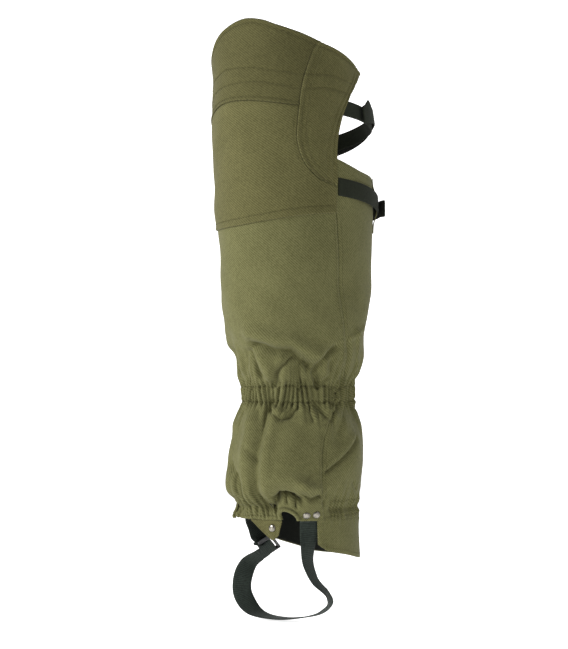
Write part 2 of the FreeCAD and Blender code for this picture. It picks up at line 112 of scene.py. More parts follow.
ANKLE_Z = (120.0, 144.0)
ANKLE_ROWS = (123.5, 139.5)      # the two stitch rows that hold the ankle elastic
HEM_Z, HEM_MIDDLE = (1.0, 21.0), 11.0
HEM_ROW, HEM_FOOT_ROW = 19.0, 3.4       # stitch rows along the hem
HEM_FRONT, HEM_REAR = 31.0, (86.0, 274.0)
ARCH_TURN, ARCH_HALF, ARCH_TOP = 41.6, 10.0, 15.0
PIPING_R, PIPING_OUT = 2.1, 2.4  # binding of the notch: radius, and its centre out from the skin
ANCHOR = (52.2, 72.2)
RIVET_TURNS, RIVET_Z = (59.5, 69.4), 6.5
ANCHOR_IN, HANG_IN = 0.9, 2.4    # webbing's outer face, in from the canvas: riveted, hanging


# ==== curves ==============================================================================
def smooth(rows, x, column=1):
    """Values at x of a smooth curve through the rows, whose first column is x."""
    rows = np.asarray(rows, float)
    keys, values = rows[:, 0], rows[:, column]
    x = np.clip(x, keys[0], keys[-1])
    i = np.clip(np.searchsorted(keys, x, side="right") - 1, 0, len(keys) - 2)
    place = np.arange(len(keys))
    low, high = np.maximum(place - 1, 0), np.minimum(place + 1, len(keys) - 1)
    slopes = (values[high] - values[low]) / (keys[high] - keys[low])
    span = keys[i + 1] - keys[i]
    s = (x - keys[i]) / span
    return (values[i] + (values[i + 1] - values[i]) * s * s * (3 - 2 * s)
            + slopes[i] * span * s * (1 - s) ** 2 - slopes[i + 1] * span * s * s * (1 - s))


def mix(a, b, s):
    return a + (b - a) * s


def step(x, low, high):
    """0 below low, 1 above high, smooth between."""
    s = np.clip((x - low) / (high - low), 0, 1)
    return s * s * (3 - 2 * s)


def bump(x, centre, width):
    return np.exp(-((x - centre) / width) ** 2)


def unit(vectors):
    return vectors / np.maximum(np.linalg.norm(vectors, axis=-1, keepdims=True), 1e-9)


def wrap(turn):
    """Turn from -180 to 180."""
    return (np.asarray(turn, float) + 180) % 360 - 180


def wobble(turn, seed, low, high):
    """Smooth random wave round the leg, of about unit size, with low to high waves a turn."""
    rng = np.random.RandomState(seed)
    waves = np.arange(low, high + 1)
    phases, sizes = rng.uniform(0, 2 * np.pi, len(waves)), rng.uniform(0.4, 1, len(waves))
    angle = np.radians(np.asarray(turn, float))[..., None] * waves + phases
    return (np.cos(angle) * sizes).sum(-1) / math.sqrt((sizes ** 2).sum() / 2) / 1.6


def mottle(turn, height, seed, length, count=18):
    """Smooth random field over the cloth, of about unit size; length is its wavelength in mm."""
    rng = np.random.RandomState(seed)
    total = 0.0
    for _ in range(count):
        around = max(1, round(2 * np.pi * MEAN_RADIUS / length * rng.uniform(0.3, 1.0)))
        rise = 2 * np.pi / length * rng.uniform(-1.0, 1.0)
        total = total + np.cos(np.radians(turn) * around + rise * height + rng.uniform(0, 2 * np.pi))
    return total / math.sqrt(count / 2) / 1.6


# ==== folds that the cloth lies in ========================================================
# Each fold is a line of (turn, height) points, its half width and its height (a valley is
# negative), in mm.
FOLDS = (
    # bulge between hem and ankle, outer front
    (((26, 122), (23, 116), (22, 92), (20, 72), (22, 44), (18, 24), (20, 12)), 6.5, -4.6),
    (((29, 112), (28, 80), (28, 50), (26, 26)), 7.0, 3.4),
    (((-15, 58), (-3, 46), (0, 36), (-1, 22), (4, 10)), 5.0, -5.6),
    (((6, 100), (8, 70), (9, 42), (8, 22)), 8.0, 4.2),
    (((7, 76), (22, 62)), 3.0, -2.2),
    (((-22, 96), (-24, 66), (-18, 34)), 9.0, 3.5),
    (((118, 84), (100, 67), (82, 51)), 2.0, -4.2),
    (((114, 88), (97, 72), (80, 56)), 4.0, 1.4),
    (((71, 52), (65, 44)), 2.2, -1.2),
    (((113, 38), (118, 31)), 2.2, -1.8),
    (((78, 90), (79, 66), (78, 34)), 4.0, -1.2),
    (((92, 100), (92, 84)), 6.0, -3.0),
    # bunched cloth over the notch
    (((37, 22), (43, 28.5), (51, 28), (58, 22)), 3.2, -10.5),
    (((31, 36), (41, 43), (53, 43), (63, 36)), 6.5, 5.0),
    (((54, 28), (52, 15)), 1.7, -4.4),
    (((41, 30), (30, 10)), 2.0, -4.4),
    (((34, 24), (27, 6)), 1.7, -4.0),
    (((47, 31), (45, 19)), 1.7, -4.6),
    (((61, 28), (67, 23), (75, 26)), 2.6, -5.0),
    (((62, 36), (73, 34)), 4.5, 2.4),
    (((84, 30), (78, 18)), 2.4, -2.0),
    # under the ankle elastic
    (((24, 116), (36, 106), (46, 109), (55, 119)), 2.2, -3.4),
    (((30, 116), (38, 112), (47, 115)), 3.0, 1.6),
    (((66, 118), (70, 104)), 2.2, -3.0),
    (((73, 122), (82, 108)), 2.2, -3.6),
    (((98, 121), (87, 104)), 2.2, -3.4),
    (((108, 121), (95, 92)), 3.0, -2.0),
    (((58, 120), (60, 104)), 4.0, 1.8),
    # swags over the ankle elastic
    (((16, 184), (24, 183), (34, 177), (47, 177), (55, 169), (64, 162)), 4.8, -7.6),
    (((14, 196), (30, 191), (48, 188), (60, 178), (72, 172)), 8.0, 5.6),
    (((8, 176), (13, 164), (17, 152)), 4.0, -5.4),
    (((46, 169), (34, 154), (31, 142)), 3.0, -5.8),
    (((20, 170), (26, 160), (27, 150)), 6.0, 3.6),
    (((87, 181), (76, 170), (70, 153), (75, 143)), 3.4, -5.8),
    (((85, 165), (88, 152), (78, 143)), 3.2, -3.2),
    (((53, 160), (57, 146)), 5.0, -4.4),
    (((40, 166), (42, 150)), 5.5, 2.6),
    (((78, 168), (80, 152)), 3.0, 2.2),
    (((98, 189), (104, 168), (107, 150)), 2.6, -3.4),
    (((121, 203), (98, 189)), 3.0, 2.0),
    (((109, 198), (118, 172), (128, 150)), 3.0, 2.4),
    (((2, 176), (-2, 160), (0, 148)), 4.0, -2.6),
    (((-14, 182), (-12, 160)), 6.0, 2.4),
    # the sides that face away, in the same manner
    (((-36, 116), (-38, 84), (-34, 44), (-32, 20)), 5.0, -5.5),
    (((-58, 110), (-56, 70), (-60, 30)), 8.0, 3.8),
    (((-74, 100), (-80, 66), (-72, 30)), 4.5, -4.2),
    (((-118, 88), (-98, 62), (-84, 48)), 3.0, -3.0),
    (((-100, 108), (-106, 76), (-100, 34)), 8.0, 3.0),
    (((-64, 32), (-56, 38), (-46, 37), (-38, 28)), 3.8, -5.5),
    (((-68, 44), (-54, 48), (-40, 44)), 6.5, 3.4),
    (((-150, 112), (-146, 80), (-152, 40)), 4.5, -3.6),
    (((170, 108), (176, 76), (168, 36)), 5.0, -3.8),
    (((140, 110), (146, 70), (142, 34)), 8.0, 3.0),
    (((-172, 110), (-168, 60)), 8.0, 2.6),
    (((150, 178), (160, 162), (158, 150)), 4.0, -4.0),
    (((176, 186), (-172, 172), (-160, 158)), 4.4, -4.4),
    (((-140, 180), (-132, 164), (-128, 150)), 4.0, -4.0),
    (((-112, 186), (-96, 172), (-90, 152)), 4.2, -4.4),
    (((-76, 178), (-62, 180), (-48, 170), (-40, 156)), 4.6, -5.0),
    (((-80, 192), (-60, 194), (-40, 184)), 8.0, 3.6),
    (((-30, 176), (-26, 156)), 4.0, -3.2),
)
# broad areas that lie closer to the leg: middle turn, half width, low and high height, amount
SLACK = ((-40, 34, 345, 480, -2.6), (-40, 26, 154, 188, -5.0), (-40, 28, -4, 96, -5.2),
         (140, 26, 108, 160, -2.0))


def fold_relief(turn, height):
    total = np.zeros(np.broadcast(turn, height).shape)
    for line, width, size in FOLDS:
        nearest = np.full(total.shape, 1e9)
        for (t0, z0), (t1, z1) in zip(line, line[1:]):
            x = wrap(turn - t0) * MM_PER_DEGREE
            y = height - z0
            dx, dy = wrap(t1 - t0) * MM_PER_DEGREE, z1 - z0
            along = np.clip((x * dx + y * dy) / (dx * dx + dy * dy), 0, 1)
            nearest = np.minimum(nearest, np.hypot(x - along * dx, y - along * dy))
        total += size * np.exp(-(nearest / width) ** 2)
    return total


def broad_relief(turn, height):
    """Gentle undulation of the whole tube, stiller over the knee, with the folds on top."""
    lower = 1 - step(height, 190, 300)
    still = mix(0.75, 2.0, lower)
    total = still * mottle(turn, height, 3, 75) + 0.6 * mottle(turn, height, 8, 34) * mix(0.35, 1, lower)
    for middle, width, low, high, amount in SLACK:
        level = step(height, low - 18, low + 18) * (1 - step(height, high - 14, high + 14))
        total = total + amount * level * bump(wrap(turn - middle), 0, width)
    edge = step(height, -2, 14)
    flare = 8.0 * bump(wrap(turn + 38), 0, 18) * (1 - step(height, 4, 11))
    return total * edge + fold_relief(turn, height) + flare


def pleat_wave(turn, pitch, seed):
    """Round-topped ridges with narrow valleys, unevenly spaced and of uneven height; 0 to about 1."""
    phase = np.radians(turn) * round(360 / pitch) + 2.2 * wobble(turn, seed, 5, 17)
    ridges = np.abs(np.cos(phase / 2)) ** 0.8
    return ridges * np.clip(0.8 + 0.5 * wobble(turn, seed + 1, 6, 24), 0.25, 1.5)


def gather_relief(turn, height, middle, half, above, below, size, seed):
    """Pleats of a gathered band, which merge into fewer, wider ones away from it."""
    past_top, past_foot = np.maximum(height - middle - half, 0), np.maximum(middle - half - height, 0)
    away = past_top / above + past_foot / below
    slant = 0.3 * wobble(turn, seed + 9, 3, 9) * (height - middle)
    fine = pleat_wave(turn + slant * 0.35, 5.2, seed)
    wide = pleat_wave(turn + slant * 0.6, 12.0, seed + 20)
    merge = step(away, 0.1, 0.8)
    reach = 1 + 0.35 * wobble(turn, seed + 5, 8, 26)
    return size * (mix(fine, 1.3 * wide, merge) - 0.75) * np.exp(-(away * 1.4 / reach) ** 1.5)


def hem_hold(turn):
    """1 where the hem is gathered on elastic, 0 where it is riveted or notched."""
    around = np.abs(wrap(turn))
    front = 1 - step(around, HEM_FRONT - 4, HEM_FRONT + 4)
    rear = step(around, HEM_REAR[0] - 6, HEM_REAR[0] + 3)
    return front + rear


def fine_relief(turn, height):
    """Gathers, stitch-row dimples and seam puckers, for sampling at about a millimetre."""
    ankle = gather_relief(turn, height, sum(ANKLE_ROWS) / 2, 7.0, 22, 20, 5.6, 40)
    for number, row in enumerate(ANKLE_ROWS):
        depth = 1.6 + 0.8 * wobble(turn, 75 + number, 20, 60)
        ankle = ankle - depth * bump(height, row + 1.6 * wobble(turn, 71 + number, 9, 40), 1.8)
    hem = gather_relief(turn, height, HEM_MIDDLE, 5.0, 22, 12, 3.6, 60)
    pinch = 2.6 + 3.4 * bump(wrap(turn + 40), 0, 24)
    hem = hem - pinch * bump(height, HEM_MIDDLE, 3.6) - 0.5 * bump(height, HEM_FOOT_ROW, 1.2)
    seam = smooth(SIDE_SEAM, height)
    beside = (np.abs(wrap(turn)) - seam) * MM_PER_DEGREE
    joint = -0.55 * bump(beside, 0, 1.6) + 0.3 * bump(beside, -4.0, 2.4) * (1 + np.cos(height * 1.1))
    return ankle + hem * hem_hold(turn) + joint * (1 - step(height, PANEL_FRONT - 10, PANEL_FRONT))


# ==== the cloth's skin ====================================================================
def leg_form(turn, height):
    """Points on the smooth leg form."""
    front, rear, half, centre = (smooth(LEG_FORM, height, column) for column in (1, 2, 3, 4))
    angle = np.radians(turn)
    depth = np.where(np.cos(angle) > 0, front, rear)
    x, y = half * np.sin(angle), centre - depth * np.cos(angle)
    lean = TILT * step(height, TILT_START, TILT_FULL)
    return np.stack(np.broadcast_arrays(x, y, height + lean * x), -1)


def grid_normals(points):
    """Outward normals of a grid whose first axis runs round the leg and second runs up."""
    around = np.gradient(points, axis=0)
    upward = np.gradient(points, axis=1)
    return unit(np.cross(around, upward))


class Skin:
    """The canvas's inner face: a grid over (turn, height), sampled between its points."""
    TURN_STEP, LOW, HIGH, HEIGHT_STEP = 1.2, -50.0, 526.0, 1.5

    def __init__(self):
        self.turns = np.arange(-180, 180, self.TURN_STEP)
        self.heights = np.arange(self.LOW, self.HIGH + self.HEIGHT_STEP, self.HEIGHT_STEP)
        turn, height = np.meshgrid(self.turns, self.heights, indexing="ij")
        self.points = leg_form(turn, height)
        self.find_normals()
        self.points = self.points + self.normals * broad_relief(turn, height)[..., None]
        self.find_normals()

    def find_normals(self):
        ring = np.concatenate([self.points[-2:], self.points, self.points[:2]])
        self.normals = grid_normals(ring)[2:-2]

    def sample(self, field, turn, height):
        u = (wrap(turn) + 180) / self.TURN_STEP
        v = np.clip((height - self.LOW) / self.HEIGHT_STEP, 0, len(self.heights) - 1.001)
        i, j = np.floor(u).astype(int), np.floor(v).astype(int)
        s, t = (u - i)[..., None], (v - j)[..., None]
        a, b = i % len(self.turns), (i + 1) % len(self.turns)
        return ((field[a, j] * (1 - s) + field[b, j] * s) * (1 - t)
                + (field[a, j + 1] * (1 - s) + field[b, j + 1] * s) * t)

    def at(self, turn, height, out=0.0):
        """Points that far out from the canvas's inner face, in mm."""
        turn, height, out = np.broadcast_arrays(np.asarray(turn, float), np.asarray(height, float), out)
        distance = out + fine_relief(turn, height)
        normal = unit(self.sample(self.normals, turn, height))
        return self.sample(self.points, turn, height) + normal * distance[..., None]

    def frames(self, turn, height, out):
        """Points with the outward, round and upward directions there."""
        turn, height = np.asarray(turn, float), np.asarray(height, float)
        point = self.at(turn, height, out)
        around = unit(self.at(turn + 0.4, height, out) - self.at(turn - 0.4, height, out))
        upward = unit(self.at(turn, height + 0.5, out) - self.at(turn, height - 0.5, out))
        return point, unit(np.cross(around, upward)), around, upward


# ==== mesh building =======================================================================
def new_mesh_object(name, points, faces, material, uv=None, flat=False):
    """Mesh object from points in mm.  uv has one pair a point."""
    name = name + "_look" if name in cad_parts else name
    mesh = bpy.data.meshes.new(name)
    mesh.from_pydata((np.asarray(points) * MM).tolist(), [], faces)
    mesh.validate()
    if uv is not None:
        layer = mesh.uv_layers.new(name="cloth")
        index = np.empty(len(mesh.loops), int)
        mesh.loops.foreach_get("vertex_index", index)
        layer.data.foreach_set("uv", np.asarray(uv, np.float32)[index].ravel())
    mesh.polygons.foreach_set("use_smooth", [not flat] * len(mesh.polygons))
    mesh.materials.append(material)
    mesh.update()
    obj = bpy.data.objects.new(name, mesh)
    bpy.context.scene.collection.objects.link(obj)
    return obj


def finish_piece(obj, body, nodes=()):
    """Give a piece its body, and hide the CAD nodes that it stands for."""
    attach(obj, body)
    if nodes:
        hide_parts(*nodes)
    return obj


def grid_faces(rows, columns, start=0, flip=False, closed=False):
    """Quads of a grid of rows by columns points; closed joins the last row to the first."""
    index = start + np.arange(rows * columns).reshape(rows, columns)
    nxt = np.roll(index, -1, axis=0) if closed else index[1:]
    here = index if closed else index[:-1]
    quads = np.stack([here[:, :-1], nxt[:, :-1], nxt[:, 1:], here[:, 1:]], -1).reshape(-1, 4)
    return quads[:, ::-1] if flip else quads


def border(rows, columns):
    """Indices round the edge of a grid, with the neighbours just inside them."""
    i = np.concatenate([np.arange(rows), np.full(columns - 2, rows - 1), np.arange(rows)[::-1],
                        np.zeros(columns - 2, int)])
    j = np.concatenate([np.zeros(rows, int), np.arange(1, columns - 1), np.full(rows, columns - 1),
                        np.arange(1, columns - 1)[::-1]])
    inner_i, inner_j = np.clip(i, 1, rows - 2), np.clip(j, 1, columns - 2)
    return i * columns + j, inner_i * columns + inner_j


def shell_mesh(name, outer, inner, uv, material):
    """Closed layer from two grids of points, with its cut edges rounded over."""
    rows, columns = outer.shape[:2]
    count = rows * columns
    a, b = outer.reshape(-1, 3), inner.reshape(-1, 3)
    edge, inside = border(rows, columns)
    thick = np.linalg.norm(a[edge] - b[edge], axis=1, keepdims=True)
    middle = (a[edge] + b[edge]) / 2
    push = unit(middle - (a[inside] + b[inside]) / 2) * thick * 0.4
    points = np.concatenate([a, b, middle + push])
    uv = uv.reshape(-1, 2)
    uvs = np.concatenate([uv, uv, uv[edge]])
    faces = [grid_faces(rows, columns), grid_faces(rows, columns, count, flip=True)]
    here, rim = np.arange(len(edge)), 2 * count + np.arange(len(edge))
    nxt = np.roll(here, -1)
    faces.append(np.stack([edge[here], rim[here], rim[nxt], edge[nxt]], -1))
    faces.append(np.stack([rim[here], count + edge[here], count + edge[nxt], rim[nxt]], -1))
    return new_mesh_object(name, points, np.concatenate(faces).tolist(), material, uvs)


def skin_uv(turn, height):
    """Position in the cloth of the tube, in metres, before it is folded and gathered."""
    return np.stack([wrap(turn - 50.0) * 1.25, height], -1) * MM


def cloth_uv(points):
    """Position in the cloth, in metres: length round and length up."""
    around = np.linalg.norm(np.diff(points, axis=0), axis=2)
    upward = np.linalg.norm(np.diff(points, axis=1), axis=2)
    u = np.concatenate([np.zeros((1, points.shape[1])), np.cumsum(around, 0)])
    v = np.concatenate([np.zeros((points.shape[0], 1)), np.cumsum(upward, 1)], 1)
    u = u - u[len(u) // 2]
    return np.stack([u, v], -1) * MM


def layer(name, place, outs, size, material, slot, body="gaiter", nodes=None, held="stretched"):
    """Layer of cloth on the skin.  place(u, v) gives turn and height; outs are its two faces,
    as numbers or functions of (turn, height)."""
    across, up = size
    u, v = np.meshgrid(np.linspace(0, 1, across + 1), np.linspace(0, 1, up + 1), indexing="ij")
    turn, height = place(u, v)
    faces = []
    for out in outs:
        distance = out(turn, height) if callable(out) else out
        faces.append(SKIN.at(turn, height, distance))
    obj = shell_mesh(name, faces[1], faces[0], skin_uv(turn, height), material)
    finish_piece(obj, body, [name] if nodes is None else nodes)
    return obj


def stitches(name, paths, material, body="gaiter", out=CANVAS, sunk=0.05):
    """Rows of real stitches: each path is (turns, heights) along the cloth at distance out."""
    rings, sides = (-1.0, -0.6, 0.0, 0.6, 1.0), 5
    points, faces = [], []
    for turns, heights in paths:
        line = SKIN.at(turns, heights, out)
        length = np.concatenate([[0], np.cumsum(np.linalg.norm(np.diff(line, axis=0), axis=1))])
        starts = np.arange(0.5, length[-1] - STITCH, STITCH + STITCH_GAP)
        middle = starts + STITCH / 2
        where = [np.interp(middle, length, np.asarray(c, float)) for c in (turns, heights)]
        centre, outward, _, _ = SKIN.frames(where[0], where[1], out - sunk)
        ahead = [np.interp(middle + 0.6, length, np.asarray(c, float)) for c in (turns, heights)]
        along = unit(SKIN.at(ahead[0], ahead[1], out - sunk) - centre)
        side = unit(np.cross(outward, along))
        for c, n, a, s in zip(centre, outward, along, side):
            base = len(points)
            for ring in rings:
                radius = THREAD * (0.35 if abs(ring) == 1.0 else 1.0)
                lift = THREAD * (1 - ring * ring) * 0.9 - THREAD * 0.3
                for k in range(sides):
                    angle = 2 * math.pi * k / sides
                    points.append(c + a * ring * STITCH / 2 + n * (lift + radius * math.sin(angle))
                                  + s * radius * math.cos(angle))
            for r in range(len(rings) - 1):
                for k in range(sides):
                    nk = (k + 1) % sides
                    faces.append([base + r * sides + k, base + r * sides + nk,
                                  base + (r + 1) * sides + nk, base + (r + 1) * sides + k])
            faces.append([base + k for k in range(sides)][::-1])
            faces.append([base + (len(rings) - 1) * sides + k for k in range(sides)])
    obj = new_mesh_object(name, points, faces, material)
    return finish_piece(obj, body)


def end_caps(sides, rings):
    """Two faces that close a grid of sides by rings points at its first and last ring."""
    first = [k * rings for k in range(sides)]
    last = [k * rings + rings - 1 for k in range(sides)]
    return [first, last[::-1]]


def tube_mesh(name, line, radius, material, sides=10, uv_scale=1.0):
    """Round tube along points, with domed ends."""
    line = np.asarray(line, float)
    tangent = unit(np.gradient(line, axis=0))
    side = unit(np.cross(tangent, np.tile([0.13, 0.21, 0.97], (len(line), 1))))
    other = np.cross(tangent, side)
    radii = np.full(len(line), radius)
    radii[0] = radii[-1] = radius * 0.4
    angle = np.linspace(0, 2 * np.pi, sides, endpoint=False)
    ring = side[:, None] * np.cos(angle)[:, None] + other[:, None] * np.sin(angle)[:, None]
    points = (line[:, None] + ring * radii[:, None, None]).transpose(1, 0, 2)
    faces = grid_faces(sides, len(line), closed=True).tolist()
    length = np.concatenate([[0], np.cumsum(np.linalg.norm(np.diff(line, axis=0), axis=1))])
    uv = np.stack(np.broadcast_arrays(length[None, :] * uv_scale, (angle * radius)[:, None]), -1) * MM
    faces += end_caps(sides, len(line))
    return new_mesh_object(name, points.reshape(-1, 3), faces, material, uv.reshape(-1, 2))


def ribbon_frames(route, per_span=10):
    """Smooth line along rows of (x, y, z, across x, y, z): centres, across and face directions."""
    rows = [(i,) + tuple(row) for i, row in enumerate(route)]
    t = np.linspace(0, len(rows) - 1, (len(rows) - 1) * per_span + 1)
    centre = np.stack([smooth(rows, t, c) for c in (1, 2, 3)], -1)
    across = np.stack([smooth(rows, t, c) for c in (4, 5, 6)], -1)
    along = unit(np.gradient(centre, axis=0))
    across = unit(across - along * (across * along).sum(-1, keepdims=True))
    return centre, across, np.cross(along, across)


def ribbon_mesh(name, centre, across, face, width, thick, material, dish=0.0, steps=12):
    """Webbing with rounded selvedges; dish bows it across its width."""
    s = np.linspace(-1, 1, steps + 1)
    level = dish * (s * s - 0.4)
    half = thick / 2 * (1 - 0.45 * np.abs(s) ** 6)
    body = centre[:, None] + across[:, None] * (s * width / 2)[None, :, None]
    outer = body + face[:, None] * (level + half)[None, :, None]
    inner = body + face[:, None] * (level - half)[None, :, None]
    length = np.concatenate([[0], np.cumsum(np.linalg.norm(np.diff(centre, axis=0), axis=1))])
    uv = np.stack(np.broadcast_arrays(length[:, None], (s * width / 2)[None, :]), -1) * MM
    return shell_mesh(name, outer, inner, uv, material)


def lathe_mesh(name, profile, at, direction, material, sides=36):
    """Turned part: profile rows of (radius, height) spun round direction at a point."""
    n = unit(np.asarray(direction, float))
    side = unit(np.cross(n, [0.2, 0.3, 0.9]))
    other = np.cross(n, side)
    angle = np.linspace(0, 2 * np.pi, sides, endpoint=False)
    ring = side * np.cos(angle)[:, None] + other * np.sin(angle)[:, None]
    profile = np.asarray(profile, float)
    points = at + ring[:, None] * profile[None, :, :1] + n * profile[None, :, 1:]
    faces = grid_faces(sides, len(profile), closed=True).tolist()
    faces += end_caps(sides, len(profile))
    return new_mesh_object(name, points.reshape(-1, 3), faces, material)


# ==== materials ===========================================================================
def linear(rgb):
    return tuple(((c / 255 + 0.055) / 1.055) ** 2.4 if c > 10 else c / 255 / 12.92 for c in rgb) + (1.0,)


class Shader:
    """Short way to make a material's nodes: values go to inputs by name, links by (node, output)."""

    def __init__(self, name, roughness, metallic=0.0, specular=0.5):
        self.material = bpy.data.materials.new(name)
        self.material.use_nodes = True
        self.tree = self.material.node_tree
        self.surface = self.tree.nodes["Principled BSDF"]
        self.surface.inputs["Roughness"].default_value = roughness
        self.surface.inputs["Metallic"].default_value = metallic
        self.surface.inputs["Specular IOR Level"].default_value = specular

    def add(self, kind, settings=None, **inputs):
        made = self.tree.nodes.new("ShaderNode" + kind)
        for key, value in (settings or {}).items():
            setattr(made, key, value)
        for key, value in inputs.items():
            socket = made.inputs[int(key[1:])] if key[0] == "i" and key[1:].isdigit() else made.inputs[key]
            if isinstance(value, bpy.types.NodeSocket):
                self.tree.links.new(value, socket)
            else:
                socket.default_value = value
        return made

    def link(self, output, name):
        self.tree.links.new(output, self.surface.inputs[name])

    def maths(self, operation, a, b=0.0):
        return self.add("Math", {"operation": operation}, i0=a, i1=b).outputs[0]

    def colour(self, factor, low, high):
        """Base colour that goes from low to high, both 0 to 255, with the factor."""
        made = self.add("Mix", {"data_type": "RGBA"}, i0=factor, i6=linear(low), i7=linear(high))
        self.link(made.outputs[2], "Base Color")

    def bumps(self, height, strength, distance):
        """Surface relief from a height value; distance is in mm."""
        made = self.add("Bump", None, Height=height, Strength=strength, Distance=distance * MM)
        self.link(made.outputs[0], "Normal")

    def noise(self, coordinates, scale, detail=3.0, roughness=0.55):
        return self.add("TexNoise", None, Vector=coordinates, Scale=scale, Detail=detail,
                        Roughness=roughness).outputs["Fac"]

    def between(self, value, low, high, to_low=0.0, to_high=1.0):
        made = self.add("MapRange", None, Value=value)
        for key, number in (("From Min", low), ("From Max", high), ("To Min", to_low), ("To Max", to_high)):
            made.inputs[key].default_value = number
        return made.outputs[0]


def woven(name, colour, worn, pitch, turn, depth, tone, sheen=0.04, roughness=0.92, fade=0.5):
    """Cloth with a real weave: ribs at an angle, crossed by finer yarns, slubs and faded areas."""
    shader = Shader(name, roughness, specular=0.15)
    uv = shader.add("UVMap", {"uv_map": "cloth"}).outputs[0]
    place = shader.add("TexCoord").outputs["Object"]
    scale = 1.0 / (pitch * MM)
    ribs = shader.add("Mapping", None, Vector=uv, Rotation=(0, 0, math.radians(turn)),
                      Scale=(scale, scale, scale))
    jitter = shader.noise(uv, 900.0, 2.0)
    waves = shader.add("TexWave", {"wave_type": "BANDS", "bands_direction": "X"}, Vector=ribs.outputs[0],
                       Scale=0.314, Distortion=1.1, Detail=2.0)
    waves.inputs["Detail Scale"].default_value = 1.5
    cross = shader.add("Mapping", None, Vector=uv, Rotation=(0, 0, math.radians(turn + 62)),
                       Scale=(scale * 1.3, scale * 1.3, scale))
    yarns = shader.add("TexWave", {"wave_type": "BANDS", "bands_direction": "X"}, Vector=cross.outputs[0],
                       Scale=0.45, Distortion=0.8, Detail=1.0)
    slubs = shader.add("Mapping", None, Vector=uv, Scale=(260.0, 1500.0, 1.0))
    slub = shader.noise(slubs.outputs[0], 1.0, 3.0)
    weave = shader.maths("ADD", shader.maths("MULTIPLY", waves.outputs["Fac"], 0.55),
                         shader.maths("MULTIPLY", yarns.outputs["Fac"], 0.2))
    weave = shader.maths("ADD", weave, shader.maths("MULTIPLY", slub, 0.45))
    areas = shader.noise(place, 26.0, 5.0, 0.6)
    specks = shader.noise(place, 420.0, 3.0, 0.7)
    level = shader.maths("ADD", shader.between(weave, 0.25, 0.95, -tone, tone),
                         shader.between(areas, 0.3, 0.7, -fade * 0.22, fade * 0.22))
    level = shader.maths("ADD", level, shader.between(specks, 0.3, 0.7, -tone * 0.6, tone * 0.6))
    shader.colour(shader.between(level, -0.5, 0.5), colour, worn)
    height = shader.maths("ADD", weave, shader.maths("MULTIPLY", jitter, 0.5))
    shader.bumps(height, 0.7, depth)
    shader.surface.inputs["Sheen Weight"].default_value = sheen
    shader.surface.inputs["Sheen Roughness"].default_value = 0.5
    return shader.material


def pile(name, colour, worn, size):
    """Hook or loop tape: a coarse fuzzy surface."""
    shader = Shader(name, 0.95, specular=0.1)
    uv = shader.add("UVMap", {"uv_map": "cloth"}).outputs[0]
    cells = shader.add("TexVoronoi", {"feature": "F1"}, Vector=uv, Scale=1.0 / (size * MM))
    fuzz = shader.noise(uv, 2.2 / (size * MM), 4.0)
    height = shader.maths("ADD", shader.maths("MULTIPLY", cells.outputs["Distance"], -0.8), fuzz)
    shader.colour(shader.between(height, -0.4, 0.6), colour, worn)
    shader.bumps(height, 0.9, 0.5)
    shader.surface.inputs["Sheen Weight"].default_value = 0.08
    return shader.material


def worn_metal_painted_reflection(name, colour, dulled_dark_reflection):
    """Nickel plate with fine scratches and darker patches at random; both colours are set darker than
    bright nickel, as a painted dark reflection.
    """
    shader = Shader(name, 0.3, metallic=1.0)
    place = shader.add("TexCoord").outputs["Object"]
    patches = shader.noise(place, 300.0, 4.0)
    scratch_map = shader.add("Mapping", None, Vector=place, Scale=(400.0, 9000.0, 2500.0))
    scratches = shader.noise(scratch_map.outputs[0], 1.0, 2.0)
    shader.colour(shader.between(patches, 0.35, 0.7), colour, dulled_dark_reflection)
    shader.link(shader.between(scratches, 0.3, 0.7, 0.18, 0.42), "Roughness")
    shader.bumps(scratches, 0.25, 0.1)
    return shader.material


def moulded(name, colour, worn):
    """Moulded plastic with a faint grain and rubbed patches."""
    shader = Shader(name, 0.42)
    place = shader.add("TexCoord").outputs["Object"]
    grain = shader.noise(place, 2600.0, 2.0)
    patches = shader.noise(place, 120.0, 4.0)
    shader.colour(shader.between(patches, 0.4, 0.75), colour, worn)
    shader.link(shader.between(patches, 0.3, 0.7, 0.32, 0.55), "Roughness")
    shader.bumps(grain, 0.35, 0.08)
    return shader.material


def plain(name, colour, roughness=0.95):
    shader = Shader(name, roughness, specular=0.1)
    shader.surface.inputs["Base Color"].default_value = linear(colour)
    return shader.material


CANVAS_MAT = woven("canvas", (71, 70, 40), (106, 105, 69), 1.9, -46, 0.20, 0.40)
OVERLAY_MAT = woven("canvas_overlay", (63, 61, 33), (98, 95, 60), 1.9, -46, 0.20, 0.40)
BAND_MAT = woven("canvas_band", (57, 55, 29), (89, 86, 53), 1.9, -46, 0.20, 0.40)
LINING_MAT = woven("black_lining", (12, 13, 11), (26, 28, 24), 0.8, 0, 0.08, 0.15, sheen=0.03)
ELASTIC_MAT = woven("black_elastic", (14, 14, 13), (34, 34, 32), 1.6, 90, 0.3, 0.2, sheen=0.03)
WEBBING_MAT = woven("webbing", (20, 25, 22), (52, 60, 54), 1.9, 0, 0.35, 0.3, sheen=0.05)
STRAP_MAT = woven("knee_strap_webbing", (16, 19, 13), (38, 42, 30), 1.7, 0, 0.3, 0.3, sheen=0.02)
TAPE_MAT = pile("fastener_tape", (14, 15, 13), (44, 46, 40), 0.9)
THREAD_MAT = woven("olive_thread", (62, 60, 32), (98, 95, 58), 0.5, 30, 0.06, 0.2)
# painted reflection: both nickel colours are darkened to stand in for dark surroundings mirrored in the
# rivets and the hook
NICKEL_MAT = worn_metal_painted_reflection("nickel", (150, 146, 136), (92, 88, 80))
BUCKLE_MAT = moulded("buckle_plastic", (10, 11, 11), (30, 32, 31))


# ==== canvas tube =========================================================================
SKIN = Skin()
HEM_TURN = SIDE_SEAM[0][1] - BUTT_GAP    # reach of the shin panel at the hem
ARCH_RISE = 0.9                  # height gained along the sloping cloth of the notch


